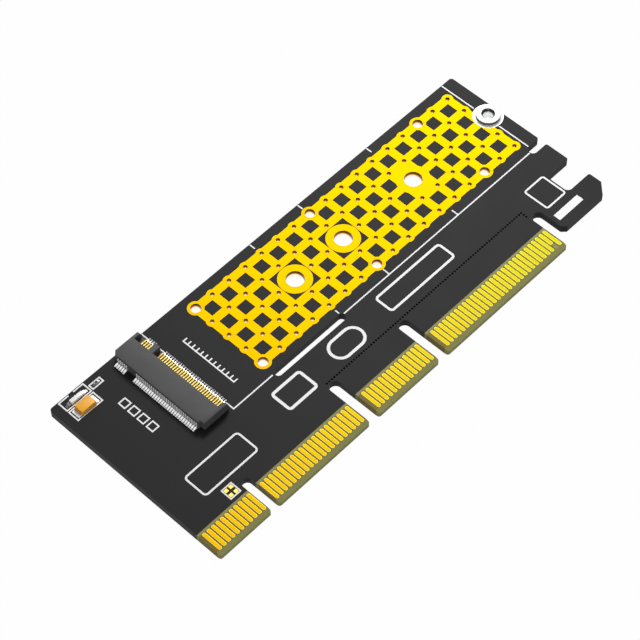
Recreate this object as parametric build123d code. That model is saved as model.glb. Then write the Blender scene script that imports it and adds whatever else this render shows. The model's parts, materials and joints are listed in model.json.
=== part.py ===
from build123d import *
import os
from math import atan2, cos, hypot, pi, sin, tan

# A plug-in card that carries a solid-state drive module: a printed circuit board with
# a stepped edge connector, a drive socket, a copper heat grid and a threaded standoff.
# All sizes are millimetres. Plan positions are measured from the middle of the key
# notch (x) and from the contact edge (y), heights from the back contacts (z).

# Board
LEFT_MARGIN = 0.93            # left end to the middle of the first contact
LOWER_BAND = 18.13            # contact edge to the near side of the drive module
LAMINATE = 1.49
COPPER = 0.04
MASK = 0.03
PRINT = 0.02
CORNER_RADIUS = 0.6
MASK_EDGE = 5.47              # height of the bare strip that holds the contacts
BEVEL_RUN = 0.8               # bevel that eases the card into its socket
BEVEL_DEPTH = 0.3

# Edge contacts
CONTACT_PITCH = 1.0
CONTACT_WIDTH = 0.7
CONTACT_BOTTOM = 0.85
CONTACT_LENGTH = 4.1
CONTACT_RADIUS = 0.3
SHORT_CONTACT_CUT = 1.1       # the last contact but one is shorter by this
CONTACT_COUNTS = (11, 21, 14, 30)
SEGMENT_NAMES = ("power", "x4", "x8", "x16")
SKIPPED_CONTACTS = 3          # contacts left out at each break-off notch
KEY_TO_CONTACT = 1.5
TONGUE_RADIUS = 0.4

# Notches between the tongues
KEY_WIDTH = 1.9
KEY_DEPTH = 7.4
NOTCH_WIDTH = 2.3
NOTCH_MARGIN = 0.65           # last contact middle to the notch
BREAK_NOTCH_DEPTH = 10.0
END_NOTCH_DEPTH = 8.6
ROUND_EASE = 0.01             # straight left between the two rounds at a notch's end

# Break-off line of small holes
BREAK_HOLE = 0.4
BREAK_PITCH = 0.6
BREAK_LEAD = 0.5              # left side of the first notch to the start of the line
BREAK_LINE_RISE = 0.35        # line height above the break-off notches

# Retention hook
HOOK_LENGTH = 12.45           # last notch to the right end
HOOK_BOTTOM = 2.55
HOOK_TOE_CHAMFER = 0.8
HOOK_HEEL_CHAMFER = 2.1
HOOK_SLOT_BOTTOM = 7.4
HOOK_SLOT_HEIGHT = 4.8
HOOK_SLOT_DEPTH = 5.7
HOOK_SLOT_RADIUS = 1.0
MOUTH_RADIUS = 0.4

# Routed slots
END_SLOT_LEAD = 0.83          # near side of the module to the slot's lower edge
END_SLOT_WIDTH = 1.8
END_SLOT_DEPTH = 3.55
LONG_SLOT_LEAD = 0.47         # slot's end to the first column of the heat grid
LONG_SLOT_LENGTH = 16.8
LONG_SLOT_WIDTH = 1.5
LONG_SLOT_GAP = 1.08          # pads of the heat grid to the slot

# Drive module layout
MODULE_WIDTH = 22.0
MODULE_LENGTHS = (30, 42, 60, 80)
MODULE_OVERHANG = 0.08        # module beyond the board's far edge
END_MARGIN = 2.28             # last screw place to the right end
SCREW_HOLE = 3.35
SCREW_PAD = 6.2
GRID_SCREW_PAD = 6.4          # pad of a screw place that is part of the heat grid
RING_COUNT = 2                # screw places with a ring of their own, nearest first
RING_GAP = 0.075              # between such a ring and the heat grid

# Heat grid
GRID_PITCH = 4.0
GRID_COLUMNS = 17
GRID_ROWS = 5
GRID_END_MARGIN = 4.28        # last column to the right end
STRIP_WIDTH = 1.65
VIA_HOLE = 0.8
VIA_PAD = 2.2
VIA_CLEARANCE = 0.2           # plated hole to the pad of a screw place
PLATING = 0.05
SINK_HOLE = 1.9
SINK_PAD = 3.0
SINK_COLUMNS = (0, 7, 14)
BACK_PAD_RIM = 0.3
MASK_GAP = 0.06               # clearance of the mask round bare copper

# Standoff
STANDOFF_DIAMETER = 4.5
STANDOFF_HEIGHT = 0.72
STANDOFF_PAD = 5.65
STANDOFF_SHANK = 3.1
THREAD_BORE = 2.05
THREAD_MOUTH = 2.5

# Drive socket, measured from its back face and its middle line
SOCKET_BACK = 2.77            # module stop to the socket's back face
SOCKET_DEPTH = 6.25
SOCKET_INSET = 0.45           # side of the module to the end of the socket
SOCKET_HEIGHT = 2.0
SHELL_DEPTH = 4.45            # roof over the module's contacts
CHEEK_WIDTH = 0.55            # wall at each end of the card slot
CARD_SLOT_FLOOR = 0.55
CARD_SLOT_HEIGHT = 1.05
CHEEK_CHAMFER_RUN = 0.5
CHEEK_CHAMFER_DROP = 1.0
END_STEP_RUN = 0.55
END_STEP_LENGTH = 0.9
FAR_CHAMFER = 0.6
PEG_DIAMETER = 1.1
PEG_INSET = 1.4
PEG_CLEARANCE = 0.05
PEG_LENGTH = 1.2
PIN_STEP = 0.25               # offset of each pin number along the socket
PIN_MARGIN = 0.65             # least distance from a pin to the end of the card slot
KEY_STEPS = (21, 28)          # pins left out for the key, counted from the middle pin
KEY_RIB = 1.0
SPRING_WIDTH = 0.24
SPRING_THICKNESS = 0.12
REAR_FOOT = 0.85
FRONT_FOOT = 0.85
REAR_EXIT_HEIGHT = 1.25
SPRING_TIP_GAP = 0.25
FOOT_PAD_WIDTH = 0.3
FOOT_PAD_MARGIN = 0.08

# Capacitor
CAP_SETBACK = 9.65            # its middle to the back of the socket
CAP_LENGTH = 3.3
CAP_WIDTH = 2.1
CAP_HEIGHT = 0.75
CAP_DRAFT = 0.12
CAP_PAD_SPAN = 4.7
CAP_PAD_LENGTH = 1.25
CAP_PAD_WIDTH = 1.75
CAP_TERMINAL_WIDTH = 1.26
TERMINAL_STRIP = 0.12

# Light
LED_DROP = 0.37               # its middle below the middle of its frame
LED_LENGTH = 3.9
LED_WIDTH = 0.8
LED_BASE_HEIGHT = 0.25
LED_LENS_HEIGHT = 0.35
LED_LENS_DRAFT = 0.1
LED_END = 0.6
LED_PAD_SPAN = 4.7
LED_PAD_LENGTH = 1.0
LED_PAD_WIDTH = 0.6
LED_FRAME_BREAK = 1.0         # gap in the far line of its frame

# Resistor
RES_DROP = 1.8                # its middle to the board's far edge
RES_LENGTH = 1.0
RES_WIDTH = 0.5
RES_HEIGHT = 0.35
RES_END = 0.25
RES_COAT = 0.05
RES_PAD_SPAN = 1.55
RES_PAD_LENGTH = 0.55
RES_PAD_WIDTH = 0.5

# Bare pads for two resistors that are not fitted
SPARE_OFFSET = (1.9, 1.8)     # middle of the four pads to the key notch and the mask's edge
SPARE_PAD = (0.68, 0.64)
SPARE_STEP = (1.07, 1.14)

# White print
LINE_WIDTH = 0.25
OUTLINE_LEAD = 3.98           # module stop to the print line beside the socket
EDGE_CLEARANCE = 0.12
SLOT_CLEARANCE = 0.35
MARK_SETBACKS = (0.1, 0.17, 0.5, 0.42)
BLOCK_OFFSET = (4.1, 2.57)    # middle of the solid block from the hook's inner corner
BLOCK_SIZE = (6.3, 1.5)
CAP_BOX_MARGIN = (0.25, 0.13)
LED_BOX_MARGIN = (0.25, 0.6)
RES_BOX_MARGIN = (0.25, 0.125)
SPARE_BOX_MARGIN = (0.08, 0.08)
BOX_GAP = 0.18                # between the frames of the capacitor and the light
SIDE_BOX_GAP = 0.2            # between the frames of the light and the resistor
BOX_EDGE_GAP = 0.165          # frame of the light to the board's far edge
TICK_BOX = 1.7
TICK_BOX_COUNT = 4
TICK_BOX_STEP = 2.2
TICK_BOX_OFFSET = (4.8, 3.83)    # first box to the socket's back and the module's middle line
SCALE_OFFSET = (4.3, 7.33)       # foot of the scale to the socket's front and that line
SCALE_STEP = 1.0
SCALE_STEPS = 12
SCALE_TICK = 0.9
FIELD_CORNER = 0.8
HOOK_FIELD_CORNER = 0.6
LEAST_CORNER = 0.05

# Empty fields, each from the feature beside it
KEY_FIELD = (-6.5, 12.4)          # left side from the key, length
KEY_FIELD_RISE = 2.0              # above the key notch
KEY_FIELD_DROP = 2.45             # below the long slot
FIELD_STARTS = (-9.85, 2.75, 16.35)     # left sides from the end of the first break-off notch
FIELD_LENGTHS = (7.0, 7.6, 16.4)
FIELD_RISES = (0.55, 0.95, 1.95)        # above the break-off line
FIELD_DROPS = (1.35, 1.15, 0.55)        # below the long slot
FIELD_LINES = (0.55, 0.55, 0.45)
THIN_LINE = 0.35
HOOK_FIELD_INSETS = (1.25, 0.3)         # from the last notch and the hook's slot
HOOK_FIELD_RISE = 4.95                  # above the foot of the hook
HOOK_FIELD_DROP = 3.95                  # below the long slot

# Levels
BACK_FACE = COPPER
FRONT_FACE = COPPER + LAMINATE
COPPER_TOP = FRONT_FACE + COPPER
MASK_TOP = FRONT_FACE + MASK
BACK_MASK_BOTTOM = BACK_FACE - MASK



def contact_columns():
    """X of every contact, one list for each tongue."""
    first = -KEY_TO_CONTACT - CONTACT_PITCH * (CONTACT_COUNTS[0] - 1)
    columns = []
    for index, count in enumerate(CONTACT_COUNTS):
        columns.append([first + CONTACT_PITCH * k for k in range(count)])
        last = columns[-1][-1]
        first = KEY_TO_CONTACT if index == 0 else last + CONTACT_PITCH * (SKIPPED_CONTACTS + 1)
    return columns


# Plan positions that follow from the sizes above
COLUMNS = contact_columns()
NOTCH_LEFTS = [columns[-1] + NOTCH_MARGIN for columns in COLUMNS[1:]]
HOOK_LEFT = NOTCH_LEFTS[-1] + NOTCH_WIDTH
BREAK_LINE_Y = BREAK_NOTCH_DEPTH + BREAK_LINE_RISE
BOARD_LEFT = LEFT_MARGIN - COLUMNS[0][0]
BOARD_RIGHT = HOOK_LEFT + HOOK_LENGTH
BOARD_LENGTH = BOARD_LEFT + BOARD_RIGHT
BOARD_HEIGHT = LOWER_BAND + MODULE_WIDTH - MODULE_OVERHANG
MODULE_Y = LOWER_BAND + MODULE_WIDTH / 2
MODULE_STOP_X = BOARD_RIGHT - END_MARGIN - MODULE_LENGTHS[-1]
HOLE_X = [MODULE_STOP_X + length for length in MODULE_LENGTHS]
RING_X = HOLE_X[:RING_COUNT]
MERGED_X = HOLE_X[RING_COUNT:-1]
STANDOFF_AT = (HOLE_X[-1], MODULE_Y)
GRID_LENGTH = GRID_PITCH * (GRID_COLUMNS - 1)
GRID_X = BOARD_RIGHT - GRID_END_MARGIN - GRID_LENGTH
GRID_HEIGHT = GRID_PITCH * (GRID_ROWS - 1)
GRID_CENTRE = (GRID_X + GRID_LENGTH / 2, MODULE_Y)
GRID_LOW = MODULE_Y - GRID_HEIGHT / 2 - max(VIA_PAD, SINK_PAD) / 2
GRID_TOP = MODULE_Y + GRID_HEIGHT / 2 + max(VIA_PAD, SINK_PAD) / 2
LONG_SLOT_LEFT = GRID_X - LONG_SLOT_LEAD
LONG_SLOT_BOTTOM = GRID_LOW - LONG_SLOT_GAP - LONG_SLOT_WIDTH
END_SLOT_BOTTOM = LOWER_BAND - END_SLOT_LEAD
SOCKET_X = MODULE_STOP_X - SOCKET_BACK
SOCKET_FRONT = SOCKET_X + SOCKET_DEPTH
SOCKET_LENGTH = MODULE_WIDTH - 2 * SOCKET_INSET
CARD_SLOT_LENGTH = SOCKET_LENGTH - 2 * CHEEK_WIDTH
MIDDLE_PIN = int((CARD_SLOT_LENGTH / 2 - PIN_MARGIN) / PIN_STEP) + 1
PIN_COUNT = 2 * MIDDLE_PIN - 1
KEY_PINS = [MIDDLE_PIN + step for step in KEY_STEPS]
OUTLINE_X = MODULE_STOP_X + OUTLINE_LEAD
OUTLINE_Y = LOWER_BAND - LINE_WIDTH / 4


def box_size(length, height, margin):
    """Outer size of the print frame round a footprint."""
    return (length + 2 * margin[0] + 2 * LINE_WIDTH, height + 2 * margin[1] + 2 * LINE_WIDTH)


CAP_BOX = box_size(CAP_PAD_SPAN, CAP_PAD_WIDTH, CAP_BOX_MARGIN)
LED_BOX = box_size(LED_PAD_SPAN, LED_PAD_WIDTH, LED_BOX_MARGIN)
RES_BOX = box_size(RES_PAD_SPAN, RES_PAD_WIDTH, RES_BOX_MARGIN)
SPARE_BOX = box_size(SPARE_STEP[0] + SPARE_PAD[0], SPARE_STEP[1] + SPARE_PAD[1], SPARE_BOX_MARGIN)
LED_BOX_CENTRE = (SOCKET_X - CAP_SETBACK, BOARD_HEIGHT - BOX_EDGE_GAP - LED_BOX[1] / 2)
LED_CENTRE = (LED_BOX_CENTRE[0], LED_BOX_CENTRE[1] - LED_DROP)
CAP_CENTRE = (LED_BOX_CENTRE[0], LED_BOX_CENTRE[1] - LED_BOX[1] / 2 - BOX_GAP - CAP_BOX[1] / 2)
RES_CENTRE = (LED_BOX_CENTRE[0] + LED_BOX[0] / 2 + SIDE_BOX_GAP + RES_BOX[0] / 2, BOARD_HEIGHT - RES_DROP)
SPARE_CENTRE = (-KEY_WIDTH / 2 - SPARE_OFFSET[0], MASK_EDGE + SPARE_OFFSET[1])
BLOCK_CENTRE = (HOOK_LEFT + BLOCK_OFFSET[0], HOOK_BOTTOM + BLOCK_OFFSET[1])

# The part's origin is under the middle of its outline
ORIGIN_SHIFT = (-(BOARD_RIGHT - BOARD_LEFT) / 2, -BOARD_HEIGHT / 2, 0)


# Plan shapes

def rounded_outline(corners):
    """Closed wire through (x, y, radius) corners, with an arc at each rounded one."""
    edges = []
    start = None
    first = None
    count = len(corners)
    for index, (x, y, radius) in enumerate(corners):
        before = corners[index - 1]
        after = corners[(index + 1) % count]
        a = atan2(before[1] - y, before[0] - x)
        b = atan2(after[1] - y, after[0] - x)
        if radius > 0:
            half = abs(b - a) / 2
            half = min(half, pi - half)
            reach = radius / tan(half)
            leg_in = (x + reach * cos(a), y + reach * sin(a))
            leg_out = (x + reach * cos(b), y + reach * sin(b))
            middle = ((leg_in[0] + leg_out[0]) / 2 - x, (leg_in[1] + leg_out[1]) / 2 - y)
            near = (radius / sin(half) - radius) / hypot(*middle)
            crown = (x + middle[0] * near, y + middle[1] * near)
        else:
            leg_in = leg_out = (x, y)
        if start is not None:
            edges.append(Line(start, leg_in))
        else:
            first = leg_in
        if radius > 0:
            edges.append(ThreePointArc(leg_in, crown, leg_out))
        start = leg_out
    edges.append(Line(start, first))
    return Wire(edges)


def board_outline():
    """Outer edge of the board, clockwise from the top left."""
    top = BOARD_HEIGHT
    right = BOARD_RIGHT
    slot_right = right - HOOK_SLOT_DEPTH
    slot_top = HOOK_SLOT_BOTTOM + HOOK_SLOT_HEIGHT
    end_slot_top = END_SLOT_BOTTOM + END_SLOT_WIDTH
    end_round = END_SLOT_WIDTH / 2 - ROUND_EASE
    notch_round = NOTCH_WIDTH / 2 - ROUND_EASE
    key_round = KEY_WIDTH / 2 - ROUND_EASE
    corners = [
        (-BOARD_LEFT, top, CORNER_RADIUS),
        (right, top, CORNER_RADIUS),
        (right, end_slot_top, MOUTH_RADIUS),
        (right - END_SLOT_DEPTH, end_slot_top, end_round),
        (right - END_SLOT_DEPTH, END_SLOT_BOTTOM, end_round),
        (right, END_SLOT_BOTTOM, MOUTH_RADIUS),
        (right, slot_top, MOUTH_RADIUS),
        (slot_right, slot_top, HOOK_SLOT_RADIUS),
        (slot_right, HOOK_SLOT_BOTTOM, HOOK_SLOT_RADIUS),
        (right, HOOK_SLOT_BOTTOM, MOUTH_RADIUS),
        (right, HOOK_BOTTOM + HOOK_HEEL_CHAMFER, 0),
        (right - HOOK_HEEL_CHAMFER, HOOK_BOTTOM, 0),
        (HOOK_LEFT + HOOK_TOE_CHAMFER, HOOK_BOTTOM, 0),
        (HOOK_LEFT, HOOK_BOTTOM + HOOK_TOE_CHAMFER, 0),
        (HOOK_LEFT, END_NOTCH_DEPTH, notch_round),
    ]
    depths = [BREAK_NOTCH_DEPTH] * (len(NOTCH_LEFTS) - 1) + [END_NOTCH_DEPTH]
    for left, depth in reversed(list(zip(NOTCH_LEFTS, depths))):
        if left != NOTCH_LEFTS[-1]:
            corners.append((left + NOTCH_WIDTH, 0, TONGUE_RADIUS))
            corners.append((left + NOTCH_WIDTH, depth, notch_round))
        corners.append((left, depth, notch_round))
        corners.append((left, 0, TONGUE_RADIUS))
    corners += [
        (KEY_WIDTH / 2, 0, TONGUE_RADIUS),
        (KEY_WIDTH / 2, KEY_DEPTH, key_round),
        (-KEY_WIDTH / 2, KEY_DEPTH, key_round),
        (-KEY_WIDTH / 2, 0, TONGUE_RADIUS),
        (-BOARD_LEFT, 0, TONGUE_RADIUS),
    ]
    return rounded_outline(corners)


def disc(x, y, diameter):
    return Pos(x, y) * Circle(diameter / 2)


def box_plan(x, y, width, height):
    return Pos(x, y) * Rectangle(width, height)


def plate(plan, bottom, thickness):
    """Solid over a flat plan, from one level up."""
    return extrude(Pos(0, 0, bottom) * plan, thickness, dir=(0, 0, 1))


def block(x, y, z, length, width, height):
    """Box by the middle of its footprint and its lower face."""
    return Pos(x, y, z) * Box(length, width, height, align=(Align.CENTER, Align.CENTER, Align.MIN))


def grid_nodes():
    """Column, row and place of every crossing of the heat grid."""
    nodes = []
    for column in range(GRID_COLUMNS):
        for row in range(GRID_ROWS):
            x = GRID_X + GRID_PITCH * column
            y = MODULE_Y + GRID_HEIGHT / 2 - GRID_PITCH * row
            nodes.append((column, row, x, y))
    return nodes


def is_sink(column, row):
    return column in SINK_COLUMNS and row in (0, GRID_ROWS - 1)


def near_screw(x, y, reach):
    return any(hypot(x - hole, y - MODULE_Y) < reach for hole in HOLE_X)


SINK_SPOTS = [(x, y) for c, r, x, y in grid_nodes() if is_sink(c, r)]
VIA_REACH = SCREW_PAD / 2 + VIA_HOLE / 2 + PLATING + VIA_CLEARANCE
VIA_SPOTS = [(x, y) for c, r, x, y in grid_nodes() if not is_sink(c, r) and not near_screw(x, y, VIA_REACH)]


def grid_plan(grow):
    """Copper grid seen from above, widened all round by grow."""
    half = GRID_PITCH / 2
    cell = GRID_PITCH - STRIP_WIDTH - 2 * grow
    sheet = box_plan(*GRID_CENTRE, GRID_LENGTH + STRIP_WIDTH + 2 * grow, GRID_HEIGHT + STRIP_WIDTH + 2 * grow)
    cells = []
    for column, row, x, y in grid_nodes():
        inside = column < GRID_COLUMNS - 1 and row < GRID_ROWS - 1
        cell_x = x + half
        cell_y = y - half
        beside_line = abs(cell_y - MODULE_Y) < GRID_PITCH
        filled = beside_line and any(abs(cell_x - hole) < half for hole in MERGED_X)
        framed = beside_line and any(abs(cell_x - hole) < GRID_PITCH for hole in RING_X)
        if inside and not filled and not framed:
            cells.append(box_plan(cell_x, cell_y, cell, cell))
    window = SCREW_PAD + 2 * RING_GAP - 2 * grow
    cells += [box_plan(x, MODULE_Y, window, window) for x in RING_X]
    rim = [
        disc(x, y, VIA_PAD + 2 * grow)
        for c, r, x, y in grid_nodes()
        if (x, y) in VIA_SPOTS and (r in (0, GRID_ROWS - 1) or c in (0, GRID_COLUMNS - 1))
    ]
    pads = [disc(x, y, SINK_PAD + 2 * grow) for x, y in SINK_SPOTS]
    pads += [disc(x, MODULE_Y, GRID_SCREW_PAD + 2 * grow) for x in MERGED_X]
    return sheet - cells + rim + pads


def break_spots():
    """Middles of the small holes of the break-off line."""
    left = NOTCH_LEFTS[0] + BREAK_LEAD
    right = NOTCH_LEFTS[-1] - BREAK_HOLE / 2
    steps = int((right - left) / BREAK_PITCH)
    spots = []
    for k in range(steps + 1):
        x = right - k * BREAK_PITCH
        spots.append((x, BREAK_LINE_Y))
    drops = int((BREAK_LINE_Y - END_NOTCH_DEPTH) / BREAK_PITCH)
    spots += [(right, BREAK_LINE_Y - BREAK_PITCH * (k + 1)) for k in range(drops)]
    return spots


def long_slot_plan():
    x = LONG_SLOT_LEFT + LONG_SLOT_LENGTH / 2
    y = LONG_SLOT_BOTTOM + LONG_SLOT_WIDTH / 2
    return Pos(x, y) * SlotOverall(LONG_SLOT_LENGTH, LONG_SLOT_WIDTH)


def peg_spots():
    reach = SOCKET_LENGTH / 2 - PEG_INSET
    x = SOCKET_X + SOCKET_DEPTH / 2
    return [(x, MODULE_Y + reach), (x, MODULE_Y - reach)]


def pad_pair(centre, span, length, width):
    """Footprint of the two solder pads of a small part."""
    reach = (span - length) / 2
    return [box_plan(centre[0] + side * reach, centre[1], length, width) for side in (-1, 1)]


# Socket pins, odd numbers above the module and even numbers below it

def pin_y(number):
    middle = (PIN_COUNT + 1) / 2
    return MODULE_Y + (number - middle) * PIN_STEP


def pins(first):
    return [n for n in range(first, PIN_COUNT + 1, 2) if not KEY_PINS[0] <= n <= KEY_PINS[1]]


UPPER_PINS = pins(1)
LOWER_PINS = pins(2)
KEY_Y = (pin_y(KEY_PINS[0]) + pin_y(KEY_PINS[1])) / 2


def foot_pads(numbers, wall, foot, side):
    """Footprints of the solder pads under one row of socket feet."""
    length = foot + FOOT_PAD_MARGIN
    x = wall + side * length / 2
    return [box_plan(x, pin_y(n), length, FOOT_PAD_WIDTH) for n in numbers]


REAR_PADS = foot_pads(UPPER_PINS, SOCKET_X, REAR_FOOT, -1)
FRONT_PADS = foot_pads(LOWER_PINS, SOCKET_FRONT, FRONT_FOOT, 1)
SMALL_PADS = {
    "capacitor_pads": pad_pair(CAP_CENTRE, CAP_PAD_SPAN, CAP_PAD_LENGTH, CAP_PAD_WIDTH),
    "led_pads": pad_pair(LED_CENTRE, LED_PAD_SPAN, LED_PAD_LENGTH, LED_PAD_WIDTH),
    "resistor_pads": pad_pair(RES_CENTRE, RES_PAD_SPAN, RES_PAD_LENGTH, RES_PAD_WIDTH),
    "spare_resistor_pads": [
        box_plan(SPARE_CENTRE[0] + i * SPARE_STEP[0] / 2, SPARE_CENTRE[1] + j * SPARE_STEP[1] / 2, *SPARE_PAD)
        for i in (-1, 1)
        for j in (-1, 1)
    ],
}

BOARD_PLAN = Sketch() + Face(board_outline())


# Board layers

def drilled_holes():
    """Every hole of the bare laminate, as plan discs and the long slot."""
    holes = [disc(x, y, VIA_HOLE + 2 * PLATING) for x, y in VIA_SPOTS]
    holes += [disc(x, y, SINK_HOLE + 2 * PLATING) for x, y in SINK_SPOTS]
    holes += [disc(x, MODULE_Y, SCREW_HOLE) for x in HOLE_X[:-1]]
    holes += [disc(*STANDOFF_AT, STANDOFF_SHANK + 2 * PLATING)]
    holes += [disc(x, y, BREAK_HOLE) for x, y in break_spots()]
    holes += [disc(x, y, PEG_DIAMETER + 2 * PEG_CLEARANCE) for x, y in peg_spots()]
    holes += [long_slot_plan()]
    return holes


def circuit_board():
    plan = Face(BOARD_PLAN.face().outer_wire(), [hole.face().outer_wire() for hole in drilled_holes()])
    board = plate(plan, BACK_FACE, LAMINATE)
    middle = (BACK_FACE + FRONT_FACE) / 2
    for side in (-1, 1):
        face = middle + side * LAMINATE / 2
        wedge = Polyline((0, face), (BEVEL_RUN, face), (0, face - side * BEVEL_DEPTH), close=True)
        bevel = extrude(Plane.YZ * make_face(wedge), BOARD_LENGTH, both=True)
        board -= bevel
    return board


def masked_area():
    """Part of the board face that the solder mask covers."""
    cover = box_plan(BOARD_RIGHT - BOARD_LENGTH / 2, MASK_EDGE + BOARD_HEIGHT / 2, BOARD_LENGTH, BOARD_HEIGHT)
    cover += box_plan(HOOK_LEFT + HOOK_LENGTH / 2, BOARD_HEIGHT / 2, HOOK_LENGTH, BOARD_HEIGHT)
    return BOARD_PLAN & cover


def unplated_openings():
    openings = [disc(x, y, BREAK_HOLE) for x, y in break_spots()]
    openings += [disc(x, y, PEG_DIAMETER + 2 * PEG_CLEARANCE) for x, y in peg_spots()]
    openings += [long_slot_plan()]
    return openings


def wider(plans):
    """The same rectangles with the mask's clearance all round."""
    openings = []
    for plan in plans:
        box = plan.bounding_box()
        centre = box.center()
        openings.append(box_plan(centre.X, centre.Y, box.size.X + 2 * MASK_GAP, box.size.Y + 2 * MASK_GAP))
    return openings


def row_opening(plans):
    """One opening over a run of close pads."""
    boxes = [plan.bounding_box() for plan in plans]
    left = min(box.min.X for box in boxes) - MASK_GAP
    right = max(box.max.X for box in boxes) + MASK_GAP
    low = min(box.min.Y for box in boxes) - MASK_GAP
    high = max(box.max.Y for box in boxes) + MASK_GAP
    return box_plan((left + right) / 2, (low + high) / 2, right - left, high - low)


def split_rows(plans):
    """Pads below the key and pads above it."""
    below = [plan for plan in plans if plan.center().Y < KEY_Y]
    above = [plan for plan in plans if plan.center().Y > KEY_Y]
    return [group for group in (below, above) if group]


def solder_mask_front():
    openings = unplated_openings()
    openings += [disc(x, MODULE_Y, SCREW_PAD + 2 * MASK_GAP) for x in RING_X]
    openings += [disc(*STANDOFF_AT, STANDOFF_PAD + 2 * MASK_GAP)]
    for pads in SMALL_PADS.values():
        openings += wider(pads)
    for pads in (REAR_PADS, FRONT_PADS):
        openings += [row_opening(group) for group in split_rows(pads)]
    plan = masked_area() - grid_plan(MASK_GAP) - openings
    return plate(plan, FRONT_FACE, MASK)


def back_pad(hole):
    return hole + 2 * PLATING + 2 * BACK_PAD_RIM


def solder_mask_back():
    openings = unplated_openings()
    openings += [disc(x, y, back_pad(VIA_HOLE) + 2 * MASK_GAP) for x, y in VIA_SPOTS]
    openings += [disc(x, y, SINK_PAD + 2 * MASK_GAP) for x, y in SINK_SPOTS]
    openings += [disc(x, MODULE_Y, SCREW_PAD + 2 * MASK_GAP) for x in HOLE_X[:-1]]
    openings += [disc(*STANDOFF_AT, STANDOFF_PAD + 2 * MASK_GAP)]
    return plate(masked_area() - openings, BACK_MASK_BOTTOM, MASK)


def barrel(x, y, hole):
    """Plated wall of one hole, through the laminate alone."""
    wall = disc(x, y, hole + 2 * PLATING) - disc(x, y, hole)
    return plate(wall, BACK_FACE, LAMINATE)


def ring(x, y, outer, hole, bottom):
    return plate(disc(x, y, outer) - disc(x, y, hole), bottom, COPPER)


def heat_grid():
    """Copper grid with the plated holes that carry its heat to the back."""
    holes = [(x, y, VIA_HOLE, back_pad(VIA_HOLE)) for x, y in VIA_SPOTS]
    holes += [(x, y, SINK_HOLE, SINK_PAD) for x, y in SINK_SPOTS]
    cuts = [disc(x, y, hole) for x, y, hole, pad in holes]
    cuts += [disc(x, MODULE_Y, SCREW_HOLE) for x in MERGED_X]
    cuts += [disc(*STANDOFF_AT, STANDOFF_PAD)]
    pieces = []
    for x, y, hole, pad in holes:
        pieces.append(barrel(x, y, hole))
        pieces.append(ring(x, y, pad, hole, 0))
    return plate(grid_plan(0) - cuts, FRONT_FACE, COPPER) + pieces


def screw_ring_front(x):
    return ring(x, MODULE_Y, SCREW_PAD, SCREW_HOLE, FRONT_FACE)


def screw_rings_back():
    return [ring(x, MODULE_Y, SCREW_PAD, SCREW_HOLE, 0) for x in HOLE_X[:-1]]


def standoff_pad():
    """Tinned ring round the standoff, cut off flush with the board's end."""
    pieces = []
    for level in (0, FRONT_FACE):
        plan = (disc(*STANDOFF_AT, STANDOFF_PAD) - disc(*STANDOFF_AT, STANDOFF_SHANK)) & BOARD_PLAN
        pieces.append(plate(plan, level, COPPER))
    return barrel(*STANDOFF_AT, STANDOFF_SHANK) + pieces


def edge_contacts(columns, level, short_index):
    """One tongue's row of contacts."""
    row = []
    for index, x in enumerate(columns):
        cut = SHORT_CONTACT_CUT if index == short_index else 0
        length = CONTACT_LENGTH - cut
        y = CONTACT_BOTTOM + cut + length / 2
        row.append(plate(Pos(x, y) * RectangleRounded(CONTACT_WIDTH, length, CONTACT_RADIUS), level, COPPER))
    return row


# Standoff

def standoff():
    x, y = STANDOFF_AT
    body = Pos(x, y, COPPER_TOP + STANDOFF_HEIGHT / 2) * Cylinder(STANDOFF_DIAMETER / 2, STANDOFF_HEIGHT)
    shank = Pos(x, y, COPPER_TOP / 2) * Cylinder(STANDOFF_SHANK / 2, COPPER_TOP)
    top = COPPER_TOP + STANDOFF_HEIGHT
    bore = Pos(x, y, top / 2) * Cylinder(THREAD_BORE / 2, 2 * top)
    mouth_depth = (THREAD_MOUTH - THREAD_BORE) / 2
    mouth = Pos(x, y, top - mouth_depth / 2) * Cone(THREAD_BORE / 2, THREAD_MOUTH / 2, mouth_depth)
    return body + shank - bore - mouth


# Socket

def socket_block(back, front, low, high, floor, roof):
    """Box in the socket's own measures: from its back, its middle line and the board."""
    return block(
        SOCKET_X + (back + front) / 2,
        MODULE_Y + (low + high) / 2,
        MASK_TOP + floor,
        front - back,
        high - low,
        roof - floor,
    )


def socket_profile(points, y, width):
    """Shape in the socket's depth and height, run along the socket."""
    placed = [(SOCKET_X + u, MASK_TOP + w) for u, w in points]
    face = make_face(Polyline(*placed, close=True))
    return Pos(0, y + width / 2, 0) * extrude(Plane.XZ * face, width)


def spring_upper(number):
    t = SPRING_THICKNESS
    sole = COPPER_TOP - MASK_TOP
    exit_low = REAR_EXIT_HEIGHT
    tip = SHELL_DEPTH - SPRING_TIP_GAP
    points = [
        (-REAR_FOOT, sole), (0, sole), (0, exit_low), (tip, exit_low),
        (tip, exit_low + t), (-t, exit_low + t), (-t, sole + t), (-REAR_FOOT, sole + t),
    ]
    return socket_profile(points, pin_y(number), SPRING_WIDTH)


def spring_lower(number):
    t = SPRING_THICKNESS
    sole = COPPER_TOP - MASK_TOP
    floor = CARD_SLOT_FLOOR
    tip = SOCKET_BACK + SPRING_TIP_GAP
    front = SOCKET_DEPTH
    points = [
        (front + FRONT_FOOT, sole), (front, sole), (front, floor), (tip, floor),
        (tip, floor + t), (front + t, floor + t), (front + t, sole + t), (front + FRONT_FOOT, sole + t),
    ]
    return socket_profile(points, pin_y(number), SPRING_WIDTH)


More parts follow.
